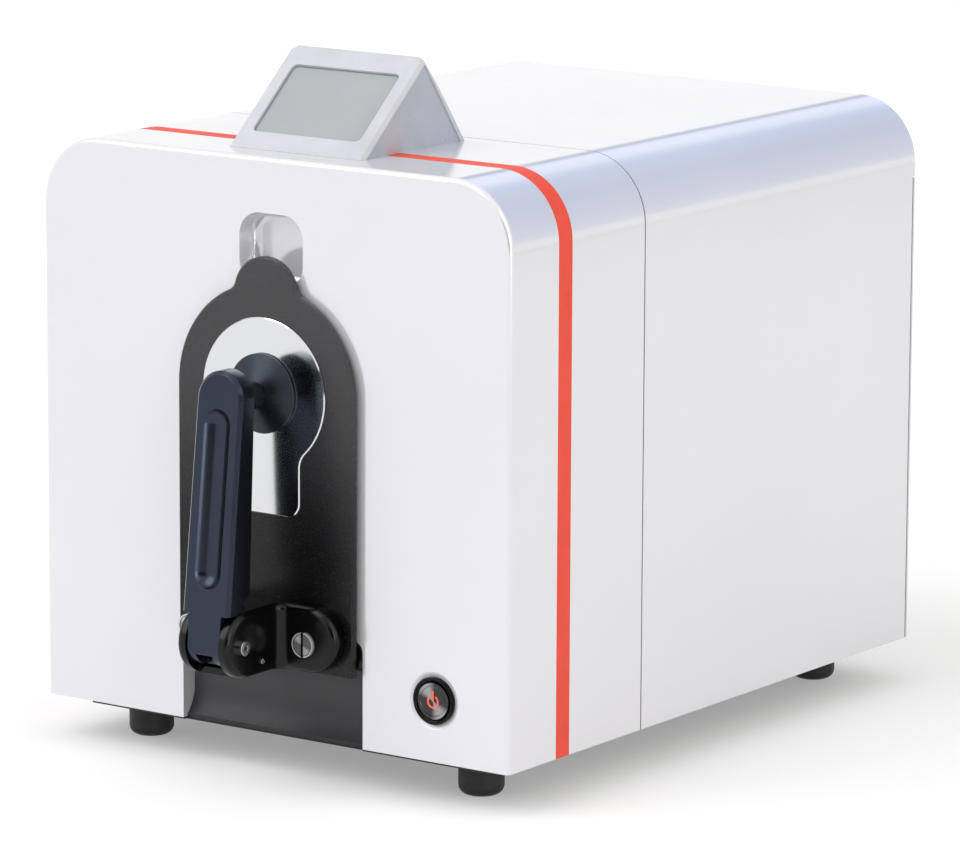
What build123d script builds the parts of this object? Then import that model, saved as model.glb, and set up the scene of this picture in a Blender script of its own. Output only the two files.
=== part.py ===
"""Benchtop colorimeter with a hinged measuring door, a spring sample arm and a wedge display.

Millimetres. +Z is up, -Y is the front, and the origin is the centre of the bounding box's base.
Inside each sketch the sizes are counted from the front cover: depth behind its front face, and
height above the covers' bottom edge.
"""
import math
import os

from build123d import *

# ---------------------------------------------------------------- covers
body_width = 265.0
body_depth = 340.2
cover_height = 266.5
shoulder_radius = 31.5
foot_drop = 20.1
front_wall = 3.0
rear_wall = 2.2
front_edge_radius = 2.4
seam_depth = 105.7
seam_gap = 0.8
stripe_depth = 37.0
stripe_width = 10.6
stripe_thickness = 0.8

# ---------------------------------------------------------------- recess behind the door
recess_half_width = 51.6
recess_depth = 8.5
recess_lip = 1.5
recess_shoulder_height = 50.0
recess_neck_half_width = 44.0
recess_outer_bend = 5.5
recess_inner_bend = 2.0
recess_panel_thickness = 2.0
recess_panel_margin = 6.0

# ---------------------------------------------------------------- finger pocket above the door
pocket_half_width = 18.0
pocket_top = 241.0
pocket_bottom = 208.0
pocket_corner = 11.0
pocket_depth = 12.0
pocket_wall = 2.0
pocket_floor_radius = 5.0

# ---------------------------------------------------------------- measuring port and door
port_height = 159.7
port_hole_radius = 15.0
plate_front = 5.2
plate_thickness = 3.0
plate_half_width = 49.8
plate_bottom = 33.4
plate_chamfer = 0.8
tab_radius = 17.7
tab_centre_height = 204.4
tab_fillet = 6.0
aperture_radius = 34.7
aperture_proud = 1.0
aperture_thickness = 3.0
aperture_tail_half_width = 20.4
aperture_tail_bottom = 104.0
aperture_tail_corner = 6.9
aperture_neck_fillet = 10.0
aperture_gap = 0.15
aperture_bevel = 0.5
door_window_radius = 27.0
port_ring_radius = 22.0
door_running_gap = 0.3

# ---------------------------------------------------------------- door hinge
hinge_height = 39.3
hinge_depth = 1.5
hinge_pin_radius = 1.6
running_clearance = 0.05
cut_margin = 1.0
door_lug_inner = 40.0
door_lug_outer = 46.3
door_lug_radius = 4.0
ear_inner = 47.8
ear_outer = 51.2
ear_bottom = 34.5
ear_top = 49.3
ear_front = -0.4
ear_gap = 0.3
ear_eye_radius = 3.3
ear_foot_depth = 4.8

# ---------------------------------------------------------------- arm bracket
pivot_reach = 41.5
pivot_height = 50.0
bracket_height = 50.3
bracket_radius = 15.4
cheek_reach = 36.9
flange_end = 45.7
flange_thickness = 8.0
flange_edge_radius = 3.0
cheek_inner = 9.4
cheek_outer = 14.7
junction_radius = 4.7
slot_radius = 11.3
slot_throat = 10.5
bracket_lug_radius = 6.7
bracket_lug_edge = 0.8
bracket_screw_right = 28.0
bracket_screw_left = 37.2
bracket_screw_height = 47.9
bracket_screw_radius = 5.8
bracket_screw_proud = 1.2
bracket_screw_shank_radius = 2.5
bracket_screw_length = 9.0
screw_slot_width = 1.2
screw_slot_depth = 0.9
screw_pocket_gap = 0.5
screw_pocket_depth = 1.6
pivot_pin_radius = 2.5
pivot_head_radius = 3.35
pivot_head_length = 2.3
pivot_socket_width = 2.5
pivot_socket_depth = 1.4
lock_pin_reach = 26.5
lock_pin_height = 41.0
lock_pin_radius = 1.25
lock_pin_bore = 0.6
lock_pin_proud = 0.6

# ---------------------------------------------------------------- sample arm
hub_radius = 9.8
hub_half_width = 9.0
arm_lean = 6.4
arm_rear_lean = 2.9
arm_rear_reach = 35.0
arm_top_height = 174.4
arm_half_width_top = 12.8
arm_half_width_foot = 13.4
arm_foot_height = 64.9
arm_bevel = 1.5
arm_foot_gap = 0.7
arm_heel_height = 73.5
arm_heel_rise = 3.0
arm_heel_run = 4.5
groove_top_height = 158.0
groove_bottom_height = 76.5
groove_half_width = 7.4
groove_depth = 4.2
hub_slot_half_width = 4.7
hub_slot_radius = 7.5
spring_wire_radius = 0.7
spring_play = 0.1
spring_turns = 4
spring_pitch = 1.75
stem_radius = 6.2
stem_seat = 3.0
stem_fit = 0.05
pad_radius = 18.4
pad_rest_gap = 0.3
pad_rim = 1.4
pad_cone_height = 4.8
pad_liner_radius = 14.5
pad_liner_thickness = 0.8
ball_radius = 2.5
ball_clearance = 0.3
neck_radius = 1.25
pad_stem_gap = 0.4

# ---------------------------------------------------------------- display
display_half_width = 38.2
display_front = 17.5
display_apex_depth = 66.0
display_rear = 96.5
display_rise = 41.5
display_wall = 2.2
display_corner = 3.2
display_chamfer = 1.5
display_side_inset = 0.8
display_side_thickness = 2.0
window_width = 61.0
window_height = 42.0
window_bottom = 10.6
window_corner = 3.0
window_recess = 1.4
window_thickness = 1.2
screen_margin = 4.0
screen_thickness = 3.0
display_board_margin = 1.5
display_board_thickness = 1.6
cable_slot_length = 30.0
cable_slot_width = 8.0
cable_slot_depth = 55.0

# ---------------------------------------------------------------- power button
button_inset = 41.1
button_height = 28.4
button_dish_radius = 13.3
button_dish_depth = 1.0
bezel_radius = 11.0
bezel_inner_radius = 8.8
bezel_proud = 1.3
bezel_edge = 0.6
bezel_barrel_radius = 9.5
bezel_barrel_length = 20.0
button_radius = 8.5
button_thickness = 3.5
button_proud = 0.9
button_travel = 1.6
button_stem_radius = 3.0
button_stem_length = 9.0
button_floor_gap = 0.5
button_nut_radius = 13.0
button_nut_thickness = 3.0
barrel_hole_gap = 0.1

# ---------------------------------------------------------------- base and feet
base_thickness = 1.5
base_pad_drop = 1.3
base_pad_inset = 26.5
base_inset = 3.3
base_rear_inset = 3.0
base_cover_gap = 0.3
foot_radius = 10.6
foot_inset = 37.0
foot_front_depth = 31.4
foot_rear_inset = 27.2
foot_edge_radius = 4.5
foot_top_radius = 1.0
foot_screw_recess_radius = 4.2
foot_screw_recess_depth = 7.0
foot_screw_radius = 2.0
foot_screw_head_radius = 3.8
foot_screw_head_height = 2.6
foot_screw_clearance = 0.2

# ---------------------------------------------------------------- rear panel
panel_thickness = 1.2
panel_gap = 0.8
panel_top = 228.4
panel_screw_inset = 5.9
panel_screw_heights = (20.0, 112.0, 212.0)
panel_screw_radius = 1.5
panel_screw_head_radius = 3.0
panel_screw_head_height = 1.6
panel_screw_length = 9.0
panel_screw_clearance = 0.2
boss_radius = 4.4
boss_length = 12.0
vent_count = 9
vent_pitch = 8.0
vent_length = 62.0
vent_width = 3.2
vent_height = 170.0
connector_proud = 2.0
inlet_inset = 50.5
inlet_height = 42.0
inlet_flange_width = 34.0
inlet_flange_height = 27.0
inlet_body_width = 28.0
inlet_body_height = 21.0
inlet_body_depth = 22.0
inlet_mouth_width = 24.0
inlet_mouth_height = 16.6
inlet_mouth_depth = 16.5
inlet_corner = 4.0
inlet_pin_width = 2.0
inlet_pin_height = 4.0
inlet_pin_length = 12.0
inlet_pin_spread = 7.0
inlet_pin_rise = 2.0
usb_x = 40.0
usb_height = 44.0
usb_width = 12.0
usb_tall = 10.9
usb_depth = 16.0
usb_proud = 0.6
usb_wall = 0.6
usb_tongue_width = 5.6
usb_tongue_height = 3.2
usb_tongue_length = 9.0
connector_gap = 0.2

# ---------------------------------------------------------------- optical bench and sphere
bench_height = 24.0
bench_thickness = 4.0
bench_side_gap = 20.5
bench_front = 24.0
bench_rear_gap = 9.0
bench_post_radius = 6.0
bench_post_inset = 12.0
bench_post_front = 48.0
bench_post_middle = 180.0
bench_post_rear_inset = 34.0
bench_margin = 4.0
sphere_radius = 74.0
sphere_wall = 4.0
sphere_front_gap = 1.5
sphere_flange_radius = 83.0
sphere_flange_thickness = 3.0
view_port_radius = 9.0
specular_port_radius = 6.0
beam_angle = 8.0
lamp_port_radius = 13.0
lamp_depth_offset = 30.0
pedestal_width = 70.0
pedestal_length = 56.0
pedestal_height = 66.0
sphere_seat_gap = 0.3
lamp_tube_radius = 19.0
lamp_tube_start = 50.0
lamp_tube_end = 86.0
guide_centre_x = 79.0
guide_thickness = 8.0
guide_half_width = 21.5
guide_top = 58.0
lamp_housing_gap = 12.5
lamp_housing_half_size = 22.0
lamp_housing_wall = 2.0
lamp_bulb_radius = 5.0
lamp_bulb_length = 22.0
lamp_base_radius = 3.5
filter_thickness = 2.0
filter_half_size = 17.0
filter_glass_radius = 14.0
filter_gap = 0.3

# ---------------------------------------------------------------- lens stage, along the viewing axis
stage_front = 176.0
stage_thickness = 5.0
stage_span = 72.0
stage_half_width = 44.0
stage_top_rise = 26.0
stage_window_radius = 18.0
rail_x = 30.0
rail_drop = 20.0
rail_radius = 3.0
screw_drop = 42.0
screw_radius = 3.0
screw_journal_radius = 2.0
carriage_thickness = 14.0
carriage_start_gap = 5.0
carriage_half_width = 38.0
carriage_rise = 24.0
carriage_tail = 52.0
lens_bore_radius = 17.0
lens_edge = 3.0
lens_bulge = 3.0
motor_half_size = 14.0
motor_length = 22.0
motor_bore_depth = 10.0
flap_radius = 8.0
flap_thickness = 1.5
flap_clearance = 2.0
flap_pivot_x = 17.0
flap_pivot_rise = 16.0
flap_arm_width = 5.0
flap_shaft_radius = 1.5
flap_hub_radius = 3.5
flap_hub_length = 5.0
flap_bracket_gap = 1.0
flap_bracket_width = 18.0
flap_bracket_thickness = 3.0
flap_motor_radius = 8.0
flap_motor_length = 14.0

# ---------------------------------------------------------------- spectrometer and electronics
spectrometer_half_width = 52.0
spectrometer_rear_gap = 15.0
spectrometer_drop = 20.0
spectrometer_rise = 35.0
spectrometer_wall = 3.0
spectrometer_lid_thickness = 3.0
slit_radius = 4.0
grating_radius = 14.0
grating_thickness = 5.0
board_left = 24.0
board_front = 184.0
board_rear_gap = 17.0
board_thickness = 1.6
board_standoff = 6.0
board_standoff_radius = 3.0
board_margin = 6.0
chip_size = 18.0
chip_spread = 40.0
chip_height = 3.0
supply_width = 80.0
supply_front = 256.0
supply_rear_gap = 27.0
supply_height = 40.0
supply_wall = 1.2
supply_vent_width = 3.0
capacitor_front = 176.0
capacitor_radius = 14.0
capacitor_length = 52.0

# ---------------------------------------------------------------- places worked out from the sizes
half_width = body_width / 2
arm_reach = cheek_reach + bracket_radius
rear_reach = body_depth + connector_proud
front_y = -(rear_reach - arm_reach) / 2
pad_front = plate_front + aperture_proud
aperture_back = pad_front - aperture_thickness
plate_back = plate_front - plate_thickness
panel_front_depth = body_depth - panel_thickness
bench_top = bench_height + bench_thickness
sphere_depth = recess_depth + recess_panel_thickness + sphere_front_gap + sphere_radius
sphere_centre = (0, front_y + sphere_depth, foot_drop + port_height)
lamp_depth = sphere_depth + lamp_depth_offset
stage_rear = stage_front + stage_thickness + stage_span
stage_back = stage_rear + stage_thickness
bench_drop = port_height - bench_top
display_angle = math.degrees(math.atan2(display_rise, display_apex_depth - display_front))
button_x = half_width - button_inset
base_pad_half_width = half_width - base_pad_inset
foot_x = half_width - foot_inset
foot_rear_depth = body_depth - foot_rear_inset
panel_screw_x = half_width - panel_screw_inset
inlet_x = inlet_inset - half_width
bench_half_width = half_width - bench_side_gap
bench_rear = panel_front_depth - bench_rear_gap
bench_post_x = bench_half_width - bench_post_inset
bench_post_depths = (bench_post_front, bench_post_middle, bench_rear - bench_post_rear_inset)
bench_edge = bench_half_width - bench_margin
lamp_housing_end = half_width - lamp_housing_gap
lamp_x = (lamp_tube_end + lamp_housing_end) / 2
spectrometer_length = panel_front_depth - spectrometer_rear_gap - stage_back
board_width = bench_edge - board_left
board_length = panel_front_depth - board_rear_gap - board_front
supply_left = -bench_edge
supply_length = panel_front_depth - supply_rear_gap - supply_front
supply_vent_count = int(supply_length / (3 * supply_vent_width))
capacitor_x = capacitor_radius - bench_edge


def front_at(depth):
    """Sketch plane facing the front: x to the right, y is height. Positive extrusions come forward."""
    return Plane(origin=(0, front_y + depth, foot_drop), x_dir=(1, 0, 0), z_dir=(0, -1, 0))


def side_at(x):
    """Sketch plane seen from the right: x is depth, y is height. Positive extrusions go right."""
    return Plane(origin=(x, front_y, foot_drop), x_dir=(0, 1, 0), z_dir=(1, 0, 0))


def deck_at(height):
    """Level sketch plane: x to the right, y is depth. Positive extrusions go up."""
    return Plane(origin=(0, front_y, foot_drop + height), x_dir=(1, 0, 0), z_dir=(0, 0, 1))


def beam_at(distance, side=-1):
    """Sketch plane square to a beam from the sample: the viewing axis, or its mirror at side 1."""
    turn = math.radians(beam_angle) * side
    direction = Vector(math.sin(turn), math.cos(turn), 0)
    sample = Vector(0, front_y - pad_front, foot_drop + port_height)
    return Plane(
        origin=sample + direction * distance,
        x_dir=(math.cos(turn), -math.sin(turn), 0),
        z_dir=-direction,
    )


def arch(inset, bottom=0.0):
    """Outline of the covers, inset by a wall: upright sides, round shoulders and a flat top."""
    with Locations((0, bottom)):
        Rectangle(
            body_width - 2 * inset,
            cover_height - inset - bottom,
            align=(Align.CENTER, Align.MIN),
        )
    fillet(vertices().group_by(Axis.Y)[-1], shoulder_radius - inset)


def recess(inset):
    """Outline of the cut-out behind the door: wide foot, curved shoulders, narrow arched neck."""
    wide = recess_half_width + inset
    neck = recess_neck_half_width + inset
    shoulder = recess_shoulder_height + inset
    with Locations((0, -cut_margin)):
        Rectangle(2 * neck, port_height + cut_margin, align=(Align.CENTER, Align.MIN))
        Rectangle(2 * wide, shoulder + cut_margin, align=(Align.CENTER, Align.MIN))
    with Locations((0, port_height)):
        Circle(neck)
    shoulder_points = vertices().filter_by(lambda point: abs(point.Y - shoulder) < running_clearance)
    outer_points = shoulder_points.filter_by(lambda point: abs(point.X) > (wide + neck) / 2)
    inner_points = shoulder_points.filter_by(lambda point: abs(point.X) < (wide + neck) / 2)
    fillet(outer_points, recess_outer_bend + inset)
    fillet(inner_points, recess_inner_bend - inset)


def save(piece, label):
    """Names a finished piece and writes its file."""
    piece.part.label = label
    export_step(piece.part, f"parts/{label}.step")


os.makedirs("parts", exist_ok=True)

# ================================================================ covers
pocket_mid = (pocket_top + pocket_bottom) / 2
pocket_height = pocket_top - pocket_bottom
button_place = (button_x, button_height)

with BuildPart() as front_cover:
    with BuildSketch(front_at(0)):
        arch(0)
    extrude(amount=-(seam_depth - seam_gap / 2))
    front_face = faces().sort_by(Axis.Y)[0]
    fillet(front_face.edges().sort_by(Axis.Z)[1:], front_edge_radius)
    with BuildSketch(front_at(front_wall)):
        arch(front_wall, bottom=-cut_margin)
    extrude(amount=-seam_depth, mode=Mode.SUBTRACT)
    # return lip round the recess, and the pocket's tub
    with BuildSketch(front_at(front_wall)):
        recess(recess_lip)
        with Locations((0, base_thickness)):
            Rectangle(
                body_width,
                2 * (base_thickness + cut_margin),
                align=(Align.CENTER, Align.MAX),
                mode=Mode.SUBTRACT,
            )
    extrude(amount=-(recess_depth - front_wall))
    with BuildSketch(front_at(front_wall)):
        with Locations((0, pocket_mid)):
            RectangleRounded(
                2 * (pocket_half_width + pocket_wall),
                pocket_height + 2 * pocket_wall,
                pocket_corner + pocket_wall,
            )
    extrude(amount=-(pocket_depth + pocket_wall - front_wall))
    with BuildSketch(front_at(0)):
        recess(0)
    extrude(amount=-recess_depth, mode=Mode.SUBTRACT)
    with BuildPart(mode=Mode.PRIVATE) as pocket_core:
        with BuildSketch(front_at(-cut_margin)):
            with Locations((0, pocket_mid)):
                RectangleRounded(2 * pocket_half_width, pocket_height, pocket_corner)
        extrude(amount=-(pocket_depth + cut_margin))
        fillet(faces().sort_by(Axis.Y)[-1].edges(), pocket_floor_radius)
    add(pocket_core.part, mode=Mode.SUBTRACT)
    # seat of the accent band
    with BuildSketch(front_at(stripe_depth)):
        arch(0)
        Rectangle(body_width + cut_margin, cut_margin, align=(Align.CENTER, Align.MAX), mode=Mode.SUBTRACT)
        with BuildSketch(mode=Mode.PRIVATE) as stripe_inside:
            arch(stripe_thickness, bottom=-cut_margin)
        add(stripe_inside.sketch, mode=Mode.SUBTRACT)
    extrude(amount=-stripe_width, mode=Mode.SUBTRACT)
    # dish and hole of the power button
    with BuildSketch(front_at(0)):
        with Locations(button_place):
            Circle(bezel_barrel_radius + barrel_hole_gap)
    extrude(amount=-2 * front_wall, mode=Mode.SUBTRACT)
    with BuildSketch(front_at(0)):
        with Locations(button_place):
            Circle(button_dish_radius)
    with BuildSketch(front_at(button_dish_depth)):
        with Locations(button_place):
            Circle(bezel_radius + barrel_hole_gap)
    loft(mode=Mode.SUBTRACT)
    # slot for the display cable
    with BuildSketch(deck_at(cover_height - 2 * front_wall)):
        with Locations((0, cable_slot_depth)):
            SlotOverall(cable_slot_length, cable_slot_width)
    extrude(amount=3 * front_wall, mode=Mode.SUBTRACT)
save(front_cover, "front_cover")

with BuildPart() as accent_stripe:
    with BuildSketch(front_at(stripe_depth)):
        arch(0)
        with BuildSketch(mode=Mode.PRIVATE) as band_inside:
            arch(stripe_thickness, bottom=-cut_margin)
        add(band_inside.sketch, mode=Mode.SUBTRACT)
    extrude(amount=-stripe_width)
save(accent_stripe, "accent_stripe")

rear_cover_start = seam_depth + seam_gap / 2
with BuildPart() as rear_cover:
    with BuildSketch(front_at(rear_cover_start)):
        arch(0)
        with BuildSketch(mode=Mode.PRIVATE) as cover_inside:
            arch(rear_wall, bottom=-cut_margin)
        add(cover_inside.sketch, mode=Mode.SUBTRACT)
    extrude(amount=-(panel_front_depth - panel_gap - rear_cover_start))
    # closed back above the rear panel
    with BuildSketch(front_at(panel_front_depth - panel_gap - rear_wall)):
        arch(0)
        with Locations((0, -cut_margin)):
            Rectangle(
                body_width + cut_margin,
                panel_top + panel_gap + cut_margin,
                align=(Align.CENTER, Align.MIN),
                mode=Mode.SUBTRACT,
            )
    extrude(amount=-(panel_thickness + panel_gap + rear_wall))
    # screw bosses along the sides
    with BuildSketch(front_at(panel_front_depth - boss_length)):
        arch(0)
        with BuildSketch(mode=Mode.PRIVATE) as bosses:
            for side in (-1, 1):
                for height in panel_screw_heights:
                    with Locations((side * panel_screw_x, height)):
                        Circle(boss_radius)
        add(bosses.sketch, mode=Mode.INTERSECT)
        for side in (-1, 1):
            for height in panel_screw_heights:
                with Locations((side * panel_screw_x, height)):
                    Circle(panel_screw_radius + running_clearance, mode=Mode.SUBTRACT)
    extrude(amount=-(boss_length - panel_gap))
save(rear_cover, "rear_cover")

# ================================================================ base, feet and recess panel
foot_places = [(side * foot_x, depth) for side in (-1, 1) for depth in (foot_front_depth, foot_rear_depth)]
base_length = panel_front_depth - base_inset - base_rear_inset
base_half_width = half_width - front_wall - base_cover_gap

with BuildPart() as base_plate:
    with BuildSketch(deck_at(0)):
        with Locations((0, base_inset)):
            Rectangle(2 * base_half_width, base_length, align=(Align.CENTER, Align.MIN))
    extrude(amount=base_thickness)
    with BuildSketch(deck_at(0)):
        with Locations((0, base_inset)):
            Rectangle(2 * base_pad_half_width, base_length, align=(Align.CENTER, Align.MIN))
    extrude(amount=-base_pad_drop)
    with BuildSketch(deck_at(-base_pad_drop)):
        with Locations(foot_places):
            Circle(foot_screw_radius + foot_screw_clearance)
    extrude(amount=base_pad_drop + base_thickness, mode=Mode.SUBTRACT)
save(base_plate, "base_plate")

foot_height = foot_drop - base_pad_drop
with BuildPart() as feet:
    for foot_place in foot_places:
        with BuildPart(mode=Mode.PRIVATE) as foot:
            with BuildSketch(deck_at(-foot_drop)):
                with Locations(foot_place):
                    Circle(foot_radius)
            extrude(amount=foot_height)
            fillet(edges().group_by(Axis.Z)[0], foot_edge_radius)
            fillet(edges().group_by(Axis.Z)[-1], foot_top_radius)
            with BuildSketch(deck_at(-foot_drop)):
                with Locations(foot_place):
                    Circle(foot_screw_recess_radius)
            extrude(amount=foot_screw_recess_depth, mode=Mode.SUBTRACT)
            with BuildSketch(deck_at(-foot_drop)):
                with Locations(foot_place):
                    Circle(foot_screw_radius + foot_screw_clearance)
            extrude(amount=foot_height, mode=Mode.SUBTRACT)
        add(foot.part)
save(feet, "feet")

with BuildPart() as foot_screws:
    with BuildSketch(deck_at(foot_screw_recess_depth - foot_drop)):
        with Locations(foot_places):
            Circle(foot_screw_head_radius)
    extrude(amount=-foot_screw_head_height)
    with BuildSketch(deck_at(foot_screw_recess_depth - foot_drop)):
        with Locations(foot_places):
            Circle(foot_screw_radius)
    extrude(amount=foot_drop - foot_screw_recess_depth + base_thickness)
save(foot_screws, "foot_screws")

port_ring_hole = port_ring_radius + running_clearance
with BuildPart() as recess_panel:
    with BuildSketch(front_at(recess_depth)):
        with Locations((0, base_thickness)):
            Rectangle(
                2 * (recess_half_width + recess_panel_margin),
                pocket_bottom - pocket_wall - base_cover_gap - base_thickness,
                align=(Align.CENTER, Align.MIN),
            )
        with Locations((0, port_height)):
            Circle(port_ring_hole, mode=Mode.SUBTRACT)
    extrude(amount=-recess_panel_thickness)
save(recess_panel, "recess_panel")

hinge_point = (hinge_depth, hinge_height)
with BuildPart() as hinge_ears:
    with BuildSketch(front_at(hinge_depth - ear_eye_radius)):
        recess(-ear_gap)
        with BuildSketch(mode=Mode.PRIVATE) as ear_blanks:
            for side in (-1, 1):
                with Locations((side * (ear_inner + ear_outer) / 2, ear_bottom)):
                    Rectangle(
                        ear_outer - ear_inner,
                        ear_top - ear_bottom,
                        align=(Align.CENTER, Align.MIN),
                    )
        add(ear_blanks.sketch, mode=Mode.INTERSECT)
    extrude(amount=-(recess_depth + hinge_depth + ear_eye_radius))
    # side outline: a round eye that the door's lower edge can swing round, and a deeper foot
    with BuildSketch(side_at(-half_width)):
        with Locations(hinge_point):
            Circle(ear_eye_radius)
            Rectangle(recess_depth - hinge_depth, 2 * ear_eye_radius, align=(Align.MIN, Align.CENTER))
        with Locations((ear_front, hinge_height)):
            Rectangle(recess_depth - ear_front, ear_top - hinge_height, align=(Align.MIN, Align.MIN))
        with Locations((ear_foot_depth, ear_bottom)):
            Rectangle(recess_depth - ear_foot_depth, hinge_height - ear_bottom, align=(Align.MIN, Align.MIN))
    extrude(amount=body_width, mode=Mode.INTERSECT)
    with BuildSketch(side_at(-half_width)):
        with Locations(hinge_point):
            Circle(hinge_pin_radius)
    extrude(amount=body_width, mode=Mode.SUBTRACT)
save(hinge_ears, "hinge_ears")

with BuildPart() as hinge_pins:
    for side in (-1, 1):
        with BuildSketch(side_at(side * door_lug_inner)):
            with Locations(hinge_point):
                Circle(hinge_pin_radius)
        extrude(amount=side * (ear_outer - door_lug_inner))
save(hinge_pins, "hinge_pins")

# ================================================================ measuring door
port_point = (0, port_height)
lug_screw_place = (-bracket_screw_left, bracket_screw_height)
wing_screw_place = (bracket_screw_right, bracket_screw_height)
screw_places = [lug_screw_place, wing_screw_place]


def keyhole(inset):
    """Outline of the aperture plate, a disc with a tail, made smaller by the inset."""
    with Locations(port_point):
        Circle(aperture_radius - inset)
    with Locations((0, aperture_tail_bottom + inset)):
        Rectangle(
            2 * (aperture_tail_half_width - inset),
            port_height - aperture_tail_bottom - inset,
            align=(Align.CENTER, Align.MIN),
        )
    fillet(vertices().group_by(Axis.Y)[1], aperture_neck_fillet + inset)
    fillet(vertices().group_by(Axis.Y)[0], aperture_tail_corner - inset)


with BuildPart() as door_plate:
    with BuildSketch(front_at(-plate_back)):
        with Locations(port_point):
            Circle(plate_half_width)
        with Locations((0, plate_bottom)):
            Rectangle(
                2 * plate_half_width,
                port_height - plate_bottom,
                align=(Align.CENTER, Align.MIN),
            )
        with Locations((0, tab_centre_height)):
            Circle(tab_radius)
        arch_points = vertices().filter_by(lambda point: point.Y > port_height + plate_half_width / 2)
        fillet(arch_points.filter_by(lambda point: abs(point.X) > tab_radius / 2), tab_fillet)
    extrude(amount=plate_thickness)
    chamfer(faces().sort_by(Axis.Y)[0].edges(), plate_chamfer)
    # seat of the aperture plate and the window behind it
    with BuildSketch(front_at(-plate_front)):
        keyhole(-aperture_gap)
    extrude(amount=-(plate_front - aperture_back), mode=Mode.SUBTRACT)
    with BuildSketch(front_at(-plate_front)):
        with Locations(port_point):
            Circle(door_window_radius)
    extrude(amount=-plate_thickness, mode=Mode.SUBTRACT)
    # hinge lugs on the back
    for side in (-1, 1):
        with BuildSketch(side_at(side * door_lug_inner)):
            with Locations(hinge_point):
                Circle(door_lug_radius)
            with Locations((hinge_depth, hinge_height)):
                Rectangle(
                    hinge_depth + plate_back,
                    2 * door_lug_radius,
                    align=(Align.MAX, Align.CENTER),
                )
        extrude(amount=side * (door_lug_outer - door_lug_inner))
    with BuildSketch(side_at(-body_width)):
        with Locations(hinge_point):
            Circle(hinge_pin_radius + running_clearance)
    extrude(amount=2 * body_width, mode=Mode.SUBTRACT)
    # tapped holes for the bracket screws
    with BuildSketch(front_at(-plate_front)):
        with Locations(screw_places):
            Circle(bracket_screw_shank_radius)
    extrude(amount=-plate_thickness, mode=Mode.SUBTRACT)
save(door_plate, "door_plate")

with BuildPart() as aperture_plate:
    with BuildSketch(front_at(-aperture_back)):
        keyhole(0)
    extrude(amount=aperture_thickness)
    chamfer(faces().sort_by(Axis.Y)[0].edges(), aperture_bevel)
    with BuildSketch(front_at(-pad_front)):
        with Locations(port_point):
            Circle(port_hole_radius)
    extrude(amount=-aperture_thickness, mode=Mode.SUBTRACT)
save(aperture_plate, "aperture_plate")

# ================================================================ arm bracket
pivot_point = (-pivot_reach, pivot_height)
cheek_point = (-cheek_reach, bracket_height)
flange_front = plate_front + flange_thickness
screw_seat = flange_front - screw_pocket_depth
screw_face = flange_front + bracket_screw_proud
wing_length = flange_end - bracket_radius

with BuildPart() as arm_bracket:
    # wing to the right and the block of the two cheeks
    with BuildSketch(front_at(-plate_front)):
        with Locations((wing_length, bracket_height)):
            Circle(bracket_radius)
            Rectangle(
                wing_length + cheek_outer,
                2 * bracket_radius,
                align=(Align.MAX, Align.CENTER),
            )
    extrude(amount=flange_thickness)
    with BuildSketch(side_at(-cheek_outer)):
        with Locations(cheek_point):
            Circle(bracket_radius)
            Rectangle(
                cheek_reach - plate_front,
                2 * bracket_radius,
                align=(Align.MIN, Align.CENTER),
            )
    extrude(amount=2 * cheek_outer)
    # hollow corner where a cheek meets the wing, then one rounding along all outer rims
    flange_front_y = front_y - flange_front
    root_edges = edges().filter_by(Axis.Z)
    root_edges = root_edges.filter_by(lambda edge: abs(edge.center().X - cheek_outer) < running_clearance)
    fillet(root_edges, junction_radius)
    rim_faces = faces().filter_by(Axis.X) + faces().filter_by(
        lambda face: abs(face.center().Y - flange_front_y) < running_clearance
    )
    rim_edges = ShapeList([edge for face in rim_faces for edge in face.edges()])
    rim_edges = rim_edges.filter_by(Axis.Z, reverse=True)
    hollow_arcs = edges().filter_by(GeomType.CIRCLE)
    hollow_arcs = hollow_arcs.filter_by(lambda edge: abs(edge.radius - junction_radius) < running_clearance)
    fillet(rim_edges + hollow_arcs, flange_edge_radius)
    # lug to the left, no thicker than its screw's seat
    with BuildPart(mode=Mode.PRIVATE) as screw_lug:
        with BuildSketch(front_at(-plate_front)):
            with Locations(lug_screw_place):
                Circle(bracket_lug_radius)
            with Locations((0, bracket_height)):
                Circle(bracket_radius - flange_edge_radius)
            make_hull()
        extrude(amount=screw_seat - plate_front)
        fillet(faces().sort_by(Axis.Y)[0].edges(), bracket_lug_edge)
    add(screw_lug.part)
    # slot for the arm: a round throat, open to the front, above and below
    with BuildSketch(side_at(-cheek_inner)):
        with Locations(pivot_point):
            Circle(slot_radius)
            Rectangle(2 * bracket_radius, 4 * bracket_radius, align=(Align.MAX, Align.CENTER))
            Rectangle(slot_throat, 2 * bracket_radius, align=(Align.MIN, Align.MIN))
    extrude(amount=2 * cheek_inner, mode=Mode.SUBTRACT)
    # pin and dowel holes through both cheeks
    with BuildSketch(side_at(-body_width)):
        with Locations(pivot_point):
            Circle(pivot_pin_radius)
        with Locations((-lock_pin_reach, lock_pin_height)):
            Circle(lock_pin_radius)
    extrude(amount=2 * body_width, mode=Mode.SUBTRACT)
    # pocket of the right screw and the holes of both
    with BuildSketch(front_at(-flange_front)):
        with Locations(wing_screw_place):
            Circle(bracket_screw_radius + screw_pocket_gap)
    extrude(amount=-screw_pocket_depth, mode=Mode.SUBTRACT)
    with BuildSketch(front_at(-flange_front)):
        with Locations(screw_places):
            Circle(bracket_screw_shank_radius)
    extrude(amount=-flange_thickness, mode=Mode.SUBTRACT)
save(arm_bracket, "arm_bracket")

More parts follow.
